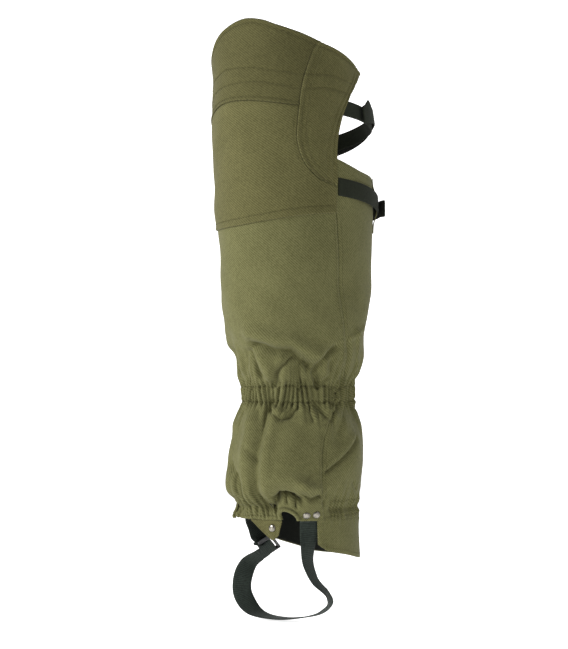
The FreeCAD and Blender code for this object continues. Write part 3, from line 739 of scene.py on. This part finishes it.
def row_spacing(low, high, fine=0.9, coarse=2.4):
    """Heights between low and high, close together where the cloth is gathered."""
    rows, height = [low], low
    while height < high:
        gathered = max(1 - step(height, 44, 60), step(height, 88, 100) * (1 - step(height, 196, 215)))
        height += mix(coarse, fine, gathered)
        rows.append(height)
    rows = np.array(rows)
    return low + (rows - low) * (high - low) / (rows[-1] - low)


def arch_low(turn):
    """Height of the hem at a turn: 0, or the edge of the notch."""
    s = (np.abs(wrap(turn)) - ARCH_TURN) * HEM_MM_PER_DEGREE
    inside = np.abs(s) < ARCH_HALF
    head = np.sqrt(np.maximum(ARCH_HALF ** 2 - s * s, 0))
    return np.where(inside, (ARCH_TOP - ARCH_HALF + head) * ARCH_RISE, 0.0)


def hem_lift(turn):
    """How far the hem turns up at the front of the inner side."""
    inward = -wrap(turn)
    return 6.0 * (step(inward, 18, 40) - step(inward, 66, 79))


def shin_turns():
    """Columns of the shin panel as shares of its width, close together at the notches' sides."""
    edge = ARCH_HALF / HEM_MM_PER_DEGREE
    marks = []
    for side in (-1, 1):
        for end in (-edge, edge):
            marks += [side * ARCH_TURN + end - 0.06, side * ARCH_TURN + end + 0.06]
        marks += list(side * ARCH_TURN + np.linspace(-edge + 0.2, edge - 0.2, 26))
    marks = np.array(marks)
    even = np.arange(-HEM_TURN, HEM_TURN + 0.01, 0.75)
    even = [t for t in even if np.abs(marks - t).min() > 0.35]
    return np.sort(np.concatenate([marks, even])) / HEM_TURN


def top_edge(turn):
    """Height of the gaiter's top."""
    return smooth(TOP_EDGE, wrap(turn))


def side_seam(height):
    """Turn of the seam between the shin and calf panels."""
    return smooth(SIDE_SEAM, height)


def canvas_panel(name, turn, height):
    """Gathered panel of the tube, over a grid of turns and heights."""
    outer, inner = SKIN.at(turn, height, CANVAS), SKIN.at(turn, height, 0.0)
    obj = shell_mesh(name, outer, inner, skin_uv(turn, height), CANVAS_MAT)
    finish_piece(obj, "gaiter", [name])


def shin_panel():
    columns, heights = shin_turns(), row_spacing(0.0, PANEL_TOP)
    share = np.repeat(columns[:, None], len(heights), axis=1)
    height = np.repeat(heights[None], len(columns), axis=0)
    turn = share * (side_seam(height) - BUTT_GAP)
    low = arch_low(share * HEM_TURN)
    height = height + low * (1 - np.clip(height / 46, 0, 1)) + hem_lift(turn) * (1 - step(height, 0, 18))
    canvas_panel("shin_panel", turn, height)


def calf_panel():
    heights = row_spacing(0.0, CALF_TOP)
    shares = np.linspace(-1, 1, 236)
    share, height = np.meshgrid(shares, heights, indexing="ij")
    turn = 180 + share * (180 - side_seam(height) - BUTT_GAP)
    rim = smooth(CALF_RIM, 180 + share * 92) - CALF_TOP
    height = height + rim * step(height, 240, CALF_TOP)
    canvas_panel("calf_panel", turn, height)


def patch(turns, heights):
    """Place function of a plain rectangle; a height may be a function of the turn."""
    def place(u, v):
        turn = mix(turns[0], turns[1], u)
        low, high = (h(turn) if callable(h) else h for h in heights)
        return turn, mix(low, high, v)
    return place


def heel_pieces():
    """Flap below the hem, and its lining just inside it."""
    for name, outs, inset, lift, material, slot in (
            ("heel_flap", (0, CANVAS), 0, 0, CANVAS_MAT, "canvas"),
            ("heel_lining", (-1.2, -0.2), 4.5, 1.0, LINING_MAT, "lining")):
        turns = (FLAP_EDGE[0][0] + inset, FLAP_EDGE[-1][0] - inset)
        place = patch(turns, (lambda turn, lift=lift: smooth(FLAP_EDGE, turn) + lift, -0.3))
        layer(name, place, outs, (150, 30), material, slot)


# ==== knee section ========================================================================
def seam_turn(height):
    """Turn of the D-shaped seam between the knee cap's pieces and a wing."""
    return np.where(height < WING_FOOT, WING_EDGE[0][1], smooth(D_SEAM, height))


def band_rise(turn):
    """How far the band's lower edge stands above its ends."""
    return BAND_RISE * np.cos(np.radians(turn * 90 / D_SEAM[-1][1])) ** 2


def rolled(base, place_distance, lift=0.7, reach=3.0):
    """Distance out that swells near an edge, as a turned and stitched edge does."""
    def out(turn, height):
        return base + lift * np.exp(-(place_distance(turn, height) / reach) ** 2)
    return out


def groove(distance):
    """Dimple that a row of stitches pulls into the cloth."""
    return -0.55 * np.exp(-(distance / 1.1) ** 2)


def band_grooves(turn, height):
    """Dimples of the two stitch rows that run round the band and the wings."""
    around = np.abs(wrap(turn))
    return groove(height - smooth(BAND_ROWS, around)) + groove(height - smooth(BAND_ROWS_LOW, around))


def knee_lining():
    def place(u, v):
        top = top_edge(mix(-88, 88, u)) - 0.6
        height = mix(PANEL_TOP + 1, top, v)
        seam = side_seam(height) - BUTT_GAP
        return mix(-seam, seam, u), height
    layer("knee_lining", place, (0, CANVAS), (120, 90), CANVAS_MAT, "canvas")


def knee_panel():
    def place(u, v):
        height = mix(PANEL_SIDE, BAND_EDGE - 0.7, v)
        turn = mix(-1, 1, u) * (seam_turn(height) - LAP_GAP)
        dip = (PANEL_FRONT - PANEL_SIDE) * np.cos(np.radians(turn)) ** 2
        return turn, height + dip * (1 - v) ** 3 + band_rise(turn) * v ** 3

    def foot(turn, height):
        return height - PANEL_SIDE - (PANEL_FRONT - PANEL_SIDE) * np.cos(np.radians(turn)) ** 2

    def out(turn, height):
        rows = 0.7 * groove(foot(turn, height) - PANEL_ROW)
        under = (BAND_EDGE + band_rise(turn) - height) / 2.0
        return rolled(OVERLAY_OUT, foot, 0.7, 4.0)(turn, height) + rows - 0.5 * np.exp(-under ** 2)
    layer("knee_panel", place, (OVERLAY_IN, out), (170, 116), OVERLAY_MAT, "canvas")


def knee_band():
    def place(u, v):
        reach = seam_turn(mix(BAND_EDGE, D_SEAM[-1][0], v)) - LAP_GAP
        turn = mix(-reach, reach, u)
        return turn, mix(BAND_EDGE + 0.7 + band_rise(turn), top_edge(turn), v)

    def foot(turn, height):
        return height - BAND_EDGE - band_rise(turn)

    def out(turn, height):
        top = top_edge(turn)
        rows = band_grooves(turn, height) + groove(height - top + TOP_ROW)
        rows = rows + groove(foot(turn, height) - BAND_FOOT_ROW)
        return rolled(OVERLAY_OUT, foot, 1.0, 2.6)(turn, height) + 0.5 * bump(height, top, 3.0) + rows
    layer("knee_band", place, (OVERLAY_IN, out), (150, 70), BAND_MAT, "canvas")


def wing_place(side):
    """Place function of a wing, from its seam to its free rear edge."""
    def place(u, v):
        seam_z = mix(WING_FOOT + 1.6, D_SEAM[-1][0] - 1, v)
        edge_z = mix(WING_FOOT + 2.2, WING_EDGE[-1][0] - 2, v)
        seam = seam_turn(seam_z) + 0.3
        edge = np.maximum(smooth(WING_EDGE, edge_z), seam + 1.2)
        turn = mix(seam, edge, u)
        rise = mix(seam_z, edge_z, u)
        head = top_edge(side * turn) - mix(D_SEAM[-1][0] - 1, WING_EDGE[-1][0] - 2, u)
        return side * turn, rise + head * v ** 3
    return place


def knee_wing(name, side):
    def seam_distance(turn, height):
        return np.abs(np.abs(wrap(turn)) - seam_turn(height)) * KNEE_MM_PER_DEGREE

    def out(turn, height):
        edge = (smooth(WING_EDGE, height) - np.abs(wrap(turn))) * KNEE_MM_PER_DEGREE
        seam = seam_distance(turn, height)
        rows = band_grooves(turn, height) + groove(height - top_edge(turn) + TOP_ROW)
        for gap in (4.2, 9.9):
            rows = rows + groove(seam - gap) + groove(edge - gap)
        return (rolled(OVERLAY_OUT, seam_distance, 0.9, 2.4)(turn, height)
                + 0.5 * bump(edge, 0, 3.0) + 0.4 * bump(height, top_edge(turn), 3.0) + rows)
    layer(name, wing_place(side), (OVERLAY_IN, out), (90, 150), OVERLAY_MAT, "canvas")


# ==== elastics, facings and the notch =====================================================
def inner_bands():
    """Lining, casings and elastics, from the canvas inward."""
    around = (-179.8, 179.8)
    layer("lower_lining", patch(around, (HEM_Z[1] + 2, ANKLE_Z[0] - 1)), (-1.6, -0.5), (320, 70),
          LINING_MAT, "lining")
    layer("ankle_casing", patch(around, ANKLE_Z), (-2.6, -1.5), (420, 24), LINING_MAT, "lining",
          held="gathered")
    layer("ankle_elastic", patch(around, (ANKLE_Z[0] + 3, ANKLE_Z[1] - 3)), (-1.3, -0.2), (420, 18),
          ELASTIC_MAT, "elastic")
    for name, turns in (("front", (-HEM_FRONT, HEM_FRONT)), ("rear", HEM_REAR)):
        layer("hem_casing_" + name, patch(turns, HEM_Z), (-2.8, -1.7), (200, 20), LINING_MAT, "lining",
              held="gathered")
        held = patch((turns[0] + 2, turns[1] - 2), (HEM_Z[0] + 2, HEM_Z[1] - 2))
        layer("hem_elastic_" + name, held, (-1.5, -0.4), (200, 16), ELASTIC_MAT, "elastic")


def arch_binding(name, side):
    half, spring = ARCH_HALF - PIPING_R * 0.6, ARCH_TOP - ARCH_HALF
    angles = np.linspace(math.pi, 0, 40)
    s = np.concatenate([np.full(6, -half), half * np.cos(angles), np.full(6, half)])
    h = np.concatenate([np.linspace(0.4, spring - 0.5, 6), spring + half * np.sin(angles),
                        np.linspace(spring - 0.5, 0.4, 6)])
    line = SKIN.at(side * (ARCH_TURN + s / HEM_MM_PER_DEGREE), h * ARCH_RISE, PIPING_OUT)
    obj = tube_mesh("arch_binding_" + name, line, PIPING_R, CANVAS_MAT, sides=16)
    finish_piece(obj, "gaiter", ["arch_binding_" + name])


def riveted_pieces(name, side):
    """Facing and webbing end that the two rivets hold inside the hem."""
    turns = sorted((side * (ANCHOR[0] + 3.3), side * (HEM_REAR[0] - 11)))
    layer("hem_facing_" + name, patch(turns, (0.5, 19)), (-3.8, -2.6), (40, 20), LINING_MAT, "lining")
    turns = sorted((side * ANCHOR[0], side * ANCHOR[1]))
    layer("strap_anchor_" + name, patch(turns, (-1.5, 18)), (-ANCHOR_IN - WEBBING_T, -ANCHOR_IN), (40, 24),
          WEBBING_MAT, "webbing")


RIVET_PROFILE = ((0.05, -4.4), (3.2, -4.4), (3.2, -3.9), (1.2, -3.8), (1.2, -0.3), (3.9, -0.3), (4.0, 0.0),
                 (3.97, 0.35), (3.75, 0.8), (3.3, 1.2), (2.6, 1.55), (1.7, 1.78), (0.8, 1.88), (0.05, 1.9))


def rivet_pair(name, side):
    for number, turn in enumerate(RIVET_TURNS):
        at, outward, _, _ = SKIN.frames(side * turn, RIVET_Z, CANVAS + 0.35)
        obj = lathe_mesh("rivet_%s_%d" % (name, number + 1), RIVET_PROFILE, at, outward, NICKEL_MAT)
        finish_piece(obj, "gaiter", ["strap_rivets_" + name])


# ==== tongue and lace hook ================================================================
TONGUE_AT = np.array([16.5, -50.8, 0.0])
TONGUE_ALONG = np.array([0.966, 0.259, 0.0])
TONGUE_OUT = np.array([0.259, -0.966, 0.0])
UP = np.array([0.0, 0.0, 1.0])
TONGUE_REAR = ((-21.2, 6.5), (-20.8, 8.5), (-15.5, 14.6), (-1.1, 18.5))      # height, place along
TONGUE_FORE = ((-21.2, 5.5), (-18.4, 0.8), (-3.8, -17.5), (-1.1, -21.0))
TONGUE_HALF_T = 0.95
HOOK_ALONG, HOOK_Z = 7.0, -8.3


def lace_tongue():
    """Stiff doubled canvas, slightly cupped, pointed at its foot."""
    z, s = np.meshgrid(np.linspace(-21.15, -0.9, 46), np.linspace(0, 1, 46), indexing="ij")
    fore, rear = np.interp(z, *np.array(TONGUE_FORE).T), np.interp(z, *np.array(TONGUE_REAR).T)
    along = mix(fore, rear, s)
    cup = 0.9 * np.cos(along * 0.14) * (z / 21) + 0.35 * np.sin(along * 0.5 + z * 0.3) * (z / 21)
    edge = np.minimum(np.minimum(s, 1 - s) * (rear - fore), (z + 21.2) * 0.8)
    half = TONGUE_HALF_T * (1 - 0.35 * np.exp(-(edge / 0.8) ** 2)) - 0.35 * bump(edge, 3.2, 0.7)
    middle = TONGUE_AT + along[..., None] * TONGUE_ALONG + z[..., None] * UP + cup[..., None] * TONGUE_OUT
    outer, inner = middle + half[..., None] * TONGUE_OUT, middle - half[..., None] * TONGUE_OUT
    flipped = (outer[:, ::-1], inner[:, ::-1])
    obj = shell_mesh("lace_tongue", *flipped, cloth_uv(flipped[0]), OVERLAY_MAT)
    finish_piece(obj, "lace_tongue", ["lace_tongue"])


def lace_hook_rivet():
    at = TONGUE_AT + TONGUE_ALONG * HOOK_ALONG + UP * HOOK_Z + TONGUE_OUT * (TONGUE_HALF_T + 0.15)
    profile = [(r, h * (0.75 if h < -1 else 1.0)) for r, h in RIVET_PROFILE]
    obj = lathe_mesh("hook_rivet", profile, at, TONGUE_OUT, NICKEL_MAT)
    finish_piece(obj, "lace_tongue", ["lace_hook_rivet"])


# ==== instep strap ========================================================================
SWING_Z = -12.0
BUCKLE_AT = np.array([-36.0, -5.0, -33.0])
BUCKLE_ALONG = unit(np.array([0.53, 0.64, 0.55]))
BUCKLE_ACROSS = unit(np.array([0.341, -0.760, 0.548]))


def swing_row(side):
    """Top of hanging webbing: centre and direction across."""
    turn = side * (ANCHOR[0] + ANCHOR[1]) / 2
    at = leg_form(turn, 0.0)
    front, half = smooth(LEG_FORM, 0.0, 1), smooth(LEG_FORM, 0.0, 3)
    angle = math.radians(turn)
    outward = unit(np.array([math.sin(angle) / half, -math.cos(angle) / front, 0.0]))
    at = at - outward * (HANG_IN + WEBBING_T / 2)
    return np.array([at[0], at[1], SWING_Z]), np.cross(UP, outward)


def buckle_rows(places):
    """Route rows at the buckle, from (place along it, distance out of its plane)."""
    rows = []
    for along, out in places:
        centre = BUCKLE_AT + BUCKLE_ALONG * along + np.cross(BUCKLE_ALONG, BUCKLE_ACROSS) * out
        rows.append((*centre, *BUCKLE_ACROSS))
    return rows


def hung_webbing(name, route):
    """Webbing of the instep loop, which bends between its sewn top and the line it swings about."""
    obj = ribbon_mesh(name, *ribbon_frames(route), WEBBING, WEBBING_T, WEBBING_MAT)
    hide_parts(name)
    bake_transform(obj)


def instep_pieces():
    top, across = swing_row(1)
    route = [(*(top + UP * 13.0), *-across), (*(top + UP * 4.0), *-across)]
    route += [(50.2, -23.6, -27, 0.02, -1, 0), (49.2, -22.3, -44.6, 0.28, -0.96, 0),
              (50.7, -14.3, -62.6, 0.45, -0.89, 0), (52.9, 0.8, -78.8, 0.58, -0.80, 0.10),
              (48.2, 6.1, -92.2, 0.56, -0.80, 0.22), (32.3, 1.1, -102.9, 0.60, -0.78, 0.15),
              (-4.6, -11.7, -109.2, 0.36, -0.93, 0), (-33.4, -24.2, -104.6, -0.20, -0.98, 0),
              (-50.4, -28.9, -88.6, -0.60, -0.80, 0), (-55.3, -27.0, -71.3, -0.643, -0.766, 0),
              (-52.6, -20.7, -54.0, -0.20, -0.90, 0.40)]
    route += buckle_rows(((-16, 4.3), (-11, 4.5), (-7, 4.2), (-3, 3.3), (0, 2.7), (3.1, 1.5), (3.7, -0.8),
                          (1.6, -2.7), (-2.0, -2.9)))
    hung_webbing("instep_strap", route)
    top, across = swing_row(-1)
    route = [(*(top + UP * 13.0), *across), (*(top + UP * 5.0), *across)]
    route += [(-47.6, -17.6, -15.0, 0.20, -0.98, 0), (-45.4, -13.6, -22.0, -0.10, -0.99, 0.05),
              (-43.0, -10.0, -29.0, 0.10, -0.95, 0.25)]
    route += buckle_rows(((-9.6, -6.0), (-10.2, -3.2), (-10.4, 0.2), (-7.4, 2.9), (-4.6, 0), (-5.6, -3.8)))
    hung_webbing("buckle_tab", route)


# ==== knee straps =========================================================================
# centre lines as (turn, height, distance out from the leg form)
UPPER_NEAR = ((90, 423, -0.2), (98, 422, -0.1), (108, 421, 1.8), (125, 420, 4.0), (145, 419, 6.0),
              (170, 419, 7.0), (200, 416, 6.5))
UPPER_FAR = ((115, 419, 7.5), (125, 421, 8.8), (137, 424, 9.5), (146, 425, 9.8), (155, 424, 9.9),
             (170, 419, 10.1), (200, 411, 9.6), (225, 410, 6.5), (245, 412, 3.2), (259, 414, 1.8))
LOWER_NEAR = ((86.2, 341, 1.6), (105, 339, 2.0), (125, 336, 4.5), (140, 333, 6.6), (152, 332, 6.6),
              (170, 331, 5.6), (196, 329, 5.0))
LOWER_FAR = ((141, 329, 14.0), (148, 330, 10.2), (155, 330, 9.5), (170, 330, 8.7), (196, 330, 8.0),
             (220, 331, 5.6), (245, 335, 3.2), (270, 340, 2.2))
# width, thickness, material and slot
STRAP = (16.5, WEBBING_T, STRAP_MAT, "knee_strap")
TAPE = (14.0, TAPE_T, TAPE_MAT, "fastener_tape")


def form_at(turn, height, out):
    """Points off the smooth form, for the straps, which don't follow the cloth's folds."""
    point = leg_form(turn, height)
    front, rear, half = (smooth(LEG_FORM, height, column) for column in (1, 2, 3))
    angle = np.radians(turn)
    depth = np.where(np.cos(angle) > 0, front, rear)
    outward = np.stack([np.sin(angle) / half, -np.cos(angle) / depth, np.zeros_like(point[..., 0])], -1)
    return point + unit(outward) * np.asarray(out)[..., None]


def strap_layer(name, rows, turns, lift, kind, body, tip=0.0):
    """Flat strap off the leg form; its upper edge peaks by tip mm near its first end."""
    width, thick, material, slot = kind
    turn, s = np.meshgrid(np.linspace(turns[0], turns[1], 110), np.linspace(-1, 1, 17), indexing="ij")
    peak = tip * bump(turn, turns[0] + 10.0, 6.0) * np.maximum(s, 0)
    height = smooth(rows, turn, 1) + s * width / 2 + peak
    base = smooth(rows, turn, 2) + lift + 0.25 * mottle(turn, height, 19, 38)
    half = thick / 2 * (1 - 0.4 * np.abs(s) ** 8)
    outer = form_at(turn, height, base + thick / 2 + half)
    inner = form_at(turn, height, base + thick / 2 - half)
    obj = shell_mesh(name, outer, inner, cloth_uv(outer), material)
    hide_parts(name)
    if body == "gaiter":
        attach(obj, body)
    else:
        last_turn, last_height = rows[-1][:2]
        root = form_at(last_turn, last_height, 2.0) * MM
        ahead = form_at(last_turn - 13.0, last_height, 2.0) * MM
        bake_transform(obj)
    return obj


def knee_straps():
    for name, near, far, turns, tip in (("upper", UPPER_NEAR, UPPER_FAR, (158, 198), 8),
                                        ("lower", LOWER_NEAR, LOWER_FAR, (157, 194), 0)):
        span = (near[0][0], near[-1][0])
        strap_layer(name + "_strap_inner", near, span, 0, STRAP, "gaiter")
        strap_layer(name + "_loop_tape", near, turns, 1.45, TAPE, "gaiter")
        span = (far[0][0], far[-1][0])
        body = name + "_strap"
        strap_layer(name + "_strap_outer", far, span, 0, STRAP, body, tip)
        strap_layer(name + "_hook_tape", far, turns, -0.65, TAPE, body)


def strap_keeper():
    """Upright loop that stands off the calf panel for the lower strap to pass."""
    def stand(v):
        rise = np.clip(np.minimum(v, 1 - v) / 0.32 - 0.3, 0, 1)
        return CANVAS + 0.2 + 3.5 * rise * rise * (3 - 2 * rise)
    low, high = 305.0, 360.0

    def inner(turn, height):
        return stand((height - low) / (high - low))

    def outer(turn, height):
        return inner(turn, height) + 1.0 * (1 - 0.35 * np.abs((wrap(turn) - 146.0) / 3.4) ** 6)
    place = patch((142.6, 149.4), (low, high))
    layer("strap_keeper", place, (inner, outer), (12, 70), OVERLAY_MAT, "canvas")


# ==== stitching ===========================================================================
def row_along(rows, step_size=1.5, offset=0.0):
    """(turns, heights) along rows of (turn, height)."""
    turns = np.arange(rows[0][0], rows[-1][0] + 0.01, step_size)
    return turns, smooth(rows, turns) + offset


def row_up(rows, low, high, inset):
    """(turns, heights) up rows of (height, turn), moved by inset degrees."""
    heights = np.arange(low, high, 2.0)
    return smooth(rows, heights) + inset, heights


def full_row(height, turns=(-180, 180)):
    span = np.arange(turns[0], turns[1] + 0.1, 0.8)
    return span, np.full(len(span), float(height)) + 0.25 * wobble(span, 5, 6, 20)


def tube_stitching():
    rows = [full_row(z) for z in ANKLE_ROWS]
    rows += [full_row(HEM_ROW, (-HEM_FRONT + 1, HEM_FRONT - 1)), full_row(HEM_ROW, HEM_REAR)]
    rows += [full_row(HEM_FOOT_ROW, (-HEM_FRONT, HEM_FRONT)), full_row(HEM_FOOT_ROW, (76, 284))]
    for side in (-1, 1):
        for gap in (3.0, -3.0):
            turns, heights = row_up(SIDE_SEAM, 22, PANEL_TOP - 26, gap)
            rows.append((side * turns, heights))
    turns, rim = (values[4:-4] for values in row_along(CALF_RIM))
    rows += [(turns, rim - 4.0), (turns, rim - 10.0)]
    stitches("stitching_tube", rows, THREAD_MAT)
    turns, flap = (values[2:-2] for values in row_along(FLAP_EDGE))
    stitches("stitching_heel", [(turns, flap + 4.0)], THREAD_MAT)


def knee_cap_stitching():
    front = np.arange(-62.0, 62.1, 1.0)
    upper, lower = smooth(BAND_ROWS, np.abs(front)), smooth(BAND_ROWS_LOW, np.abs(front))
    foot = BAND_EDGE + band_rise(front) + BAND_FOOT_ROW
    rows = [(front[4:-4], upper[4:-4]), (front[3:-3], lower[3:-3]), (front[6:-6], foot[6:-6]),
            (front[3:-3], top_edge(front[3:-3]) - TOP_ROW)]
    stitches("stitching_band", rows, THREAD_MAT, out=OVERLAY_OUT + 0.05)
    across = np.arange(-83.0, 83.1, 1.0)
    dip = (PANEL_FRONT - PANEL_SIDE) * np.cos(np.radians(across)) ** 2
    rows = [(across, PANEL_SIDE + dip + PANEL_ROW)]
    for side in (-1, 1):
        turns, heights = row_up(D_SEAM, 356, 416, -3.0)
        rows.append((side * turns, heights))
    stitches("stitching_panel", rows, THREAD_MAT, out=OVERLAY_OUT + 0.05)


def wing_stitching(name, side):
    rows = []
    for gap in (3.2, 7.6):
        turns, heights = row_up(D_SEAM, 358 + gap, 480, gap * 0.78)
        rows.append((side * turns, heights))
        turns, heights = row_up(WING_EDGE, 362, 462, -gap * 0.78)
        rows.append((side * turns, heights))
    for line in (BAND_ROWS, BAND_ROWS_LOW):
        turns = np.arange(66.0, 102.1, 1.0)
        rows.append((side * turns, smooth(line, turns)))
    turns = np.arange(80.0, 116.1, 1.0)
    rows.append((side * turns, top_edge(side * turns) - TOP_ROW))
    stitches("stitching_wing_" + name, rows, THREAD_MAT, out=OVERLAY_OUT + 0.05)


# ==== assembly ============================================================================
shin_panel()
calf_panel()
heel_pieces()
knee_lining()
knee_panel()
knee_band()
inner_bands()
for side_name, side_sign in (("left", 1), ("right", -1)):
    knee_wing("knee_wing_" + side_name, side_sign)
    arch_binding(side_name, side_sign)
    riveted_pieces(side_name, side_sign)
    rivet_pair(side_name, side_sign)
lace_tongue()
lace_hook_rivet()
instep_pieces()
knee_straps()
strap_keeper()
tube_stitching()
knee_cap_stitching()
wing_stitching("left", 1)
wing_stitching("right", -1)

# these two show their CAD shapes, with a material
for node, node_material, node_slot in (("lace_hook", NICKEL_MAT, "nickel"),
                                       ("strap_buckle", BUCKLE_MAT, "buckle")):
    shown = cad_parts[node]
    shown.data.materials.clear()
    shown.data.materials.append(node_material)


# ==== studio ==============================================================================
FLOOR_Z = -112.0
TO_CAMERA = (0.766, -0.643, 0.0)
TO_RIGHT = (0.643, 0.766, 0.0)
AIM = (-0.0069, -0.0083, 0.0)    # axis the camera looks at, in metres
CAMERA_AWAY, CAMERA_Z, AIM_Z, LENS = 1.8, 0.150, 0.2065, 92.4


def backdrop():
    """Pale floor that curves up into a pale wall behind, square to the camera's view."""
    back, right = np.array(TO_CAMERA), np.array(TO_RIGHT)
    profile = [(4200.0, FLOOR_Z), (300.0, FLOOR_Z), (-2800.0, FLOOR_Z)]
    for angle in np.linspace(0, math.pi / 2, 16):
        profile.append((-2800.0 - 900.0 * math.sin(angle), FLOOR_Z + 900.0 * (1 - math.cos(angle))))
    profile.append((-3700.0, FLOOR_Z + 4200.0))
    points = []
    for depth, z in profile:
        for side in (-4600.0, 4600.0):
            points.append(back * depth + right * side + UP * z)
    faces = grid_faces(len(profile), 2).tolist()
    paper = plain("pale_paper", (250, 250, 250))
    glow = paper.node_tree.nodes["Principled BSDF"].inputs
    glow["Emission Color"].default_value = (1.0, 1.0, 1.0, 1.0)
    glow["Emission Strength"].default_value = 0.8
    new_mesh_object("backdrop", points, faces, paper)


def softbox(name, at, aim, size, watts):
    data = bpy.data.lights.new(name, "AREA")
    data.shape, data.size, data.energy = "SQUARE", size, watts
    light = bpy.data.objects.new(name, data)
    light.location = Vector(at)
    light.rotation_euler = (Vector(aim) - Vector(at)).to_track_quat("-Z", "Y").to_euler()
    bpy.context.scene.collection.objects.link(light)


def sky():
    world = bpy.data.worlds.new("pale_sky")
    bpy.context.scene.world = world
    world.use_nodes = True
    world.node_tree.nodes["Background"].inputs["Color"].default_value = (1.0, 1.0, 1.0, 1.0)
    world.node_tree.nodes["Background"].inputs["Strength"].default_value = 0.28


def camera():
    data = bpy.data.cameras.new("camera")
    data.lens = LENS
    made = bpy.data.objects.new("camera", data)
    eye = Vector(AIM) + Vector(TO_CAMERA) * CAMERA_AWAY + Vector((0, 0, CAMERA_Z))
    target = Vector(AIM) + Vector((0, 0, AIM_Z))
    made.location = eye
    made.rotation_euler = (target - eye).to_track_quat("-Z", "Y").to_euler()
    bpy.context.scene.collection.objects.link(made)
    bpy.context.scene.camera = made
    bpy.context.scene.view_settings.view_transform = "Standard"


backdrop()
sky()
softbox("key", (-0.7, -2.1, 1.0), (0, 0, 0.2), 0.9, 60.0)
softbox("fill", (2.4, 0.4, 0.9), (0, 0, 0.2), 1.6, 10.0)
softbox("top", (0.3, 0.2, 2.4), (0, 0, 0.2), 1.2, 9.0)
camera()
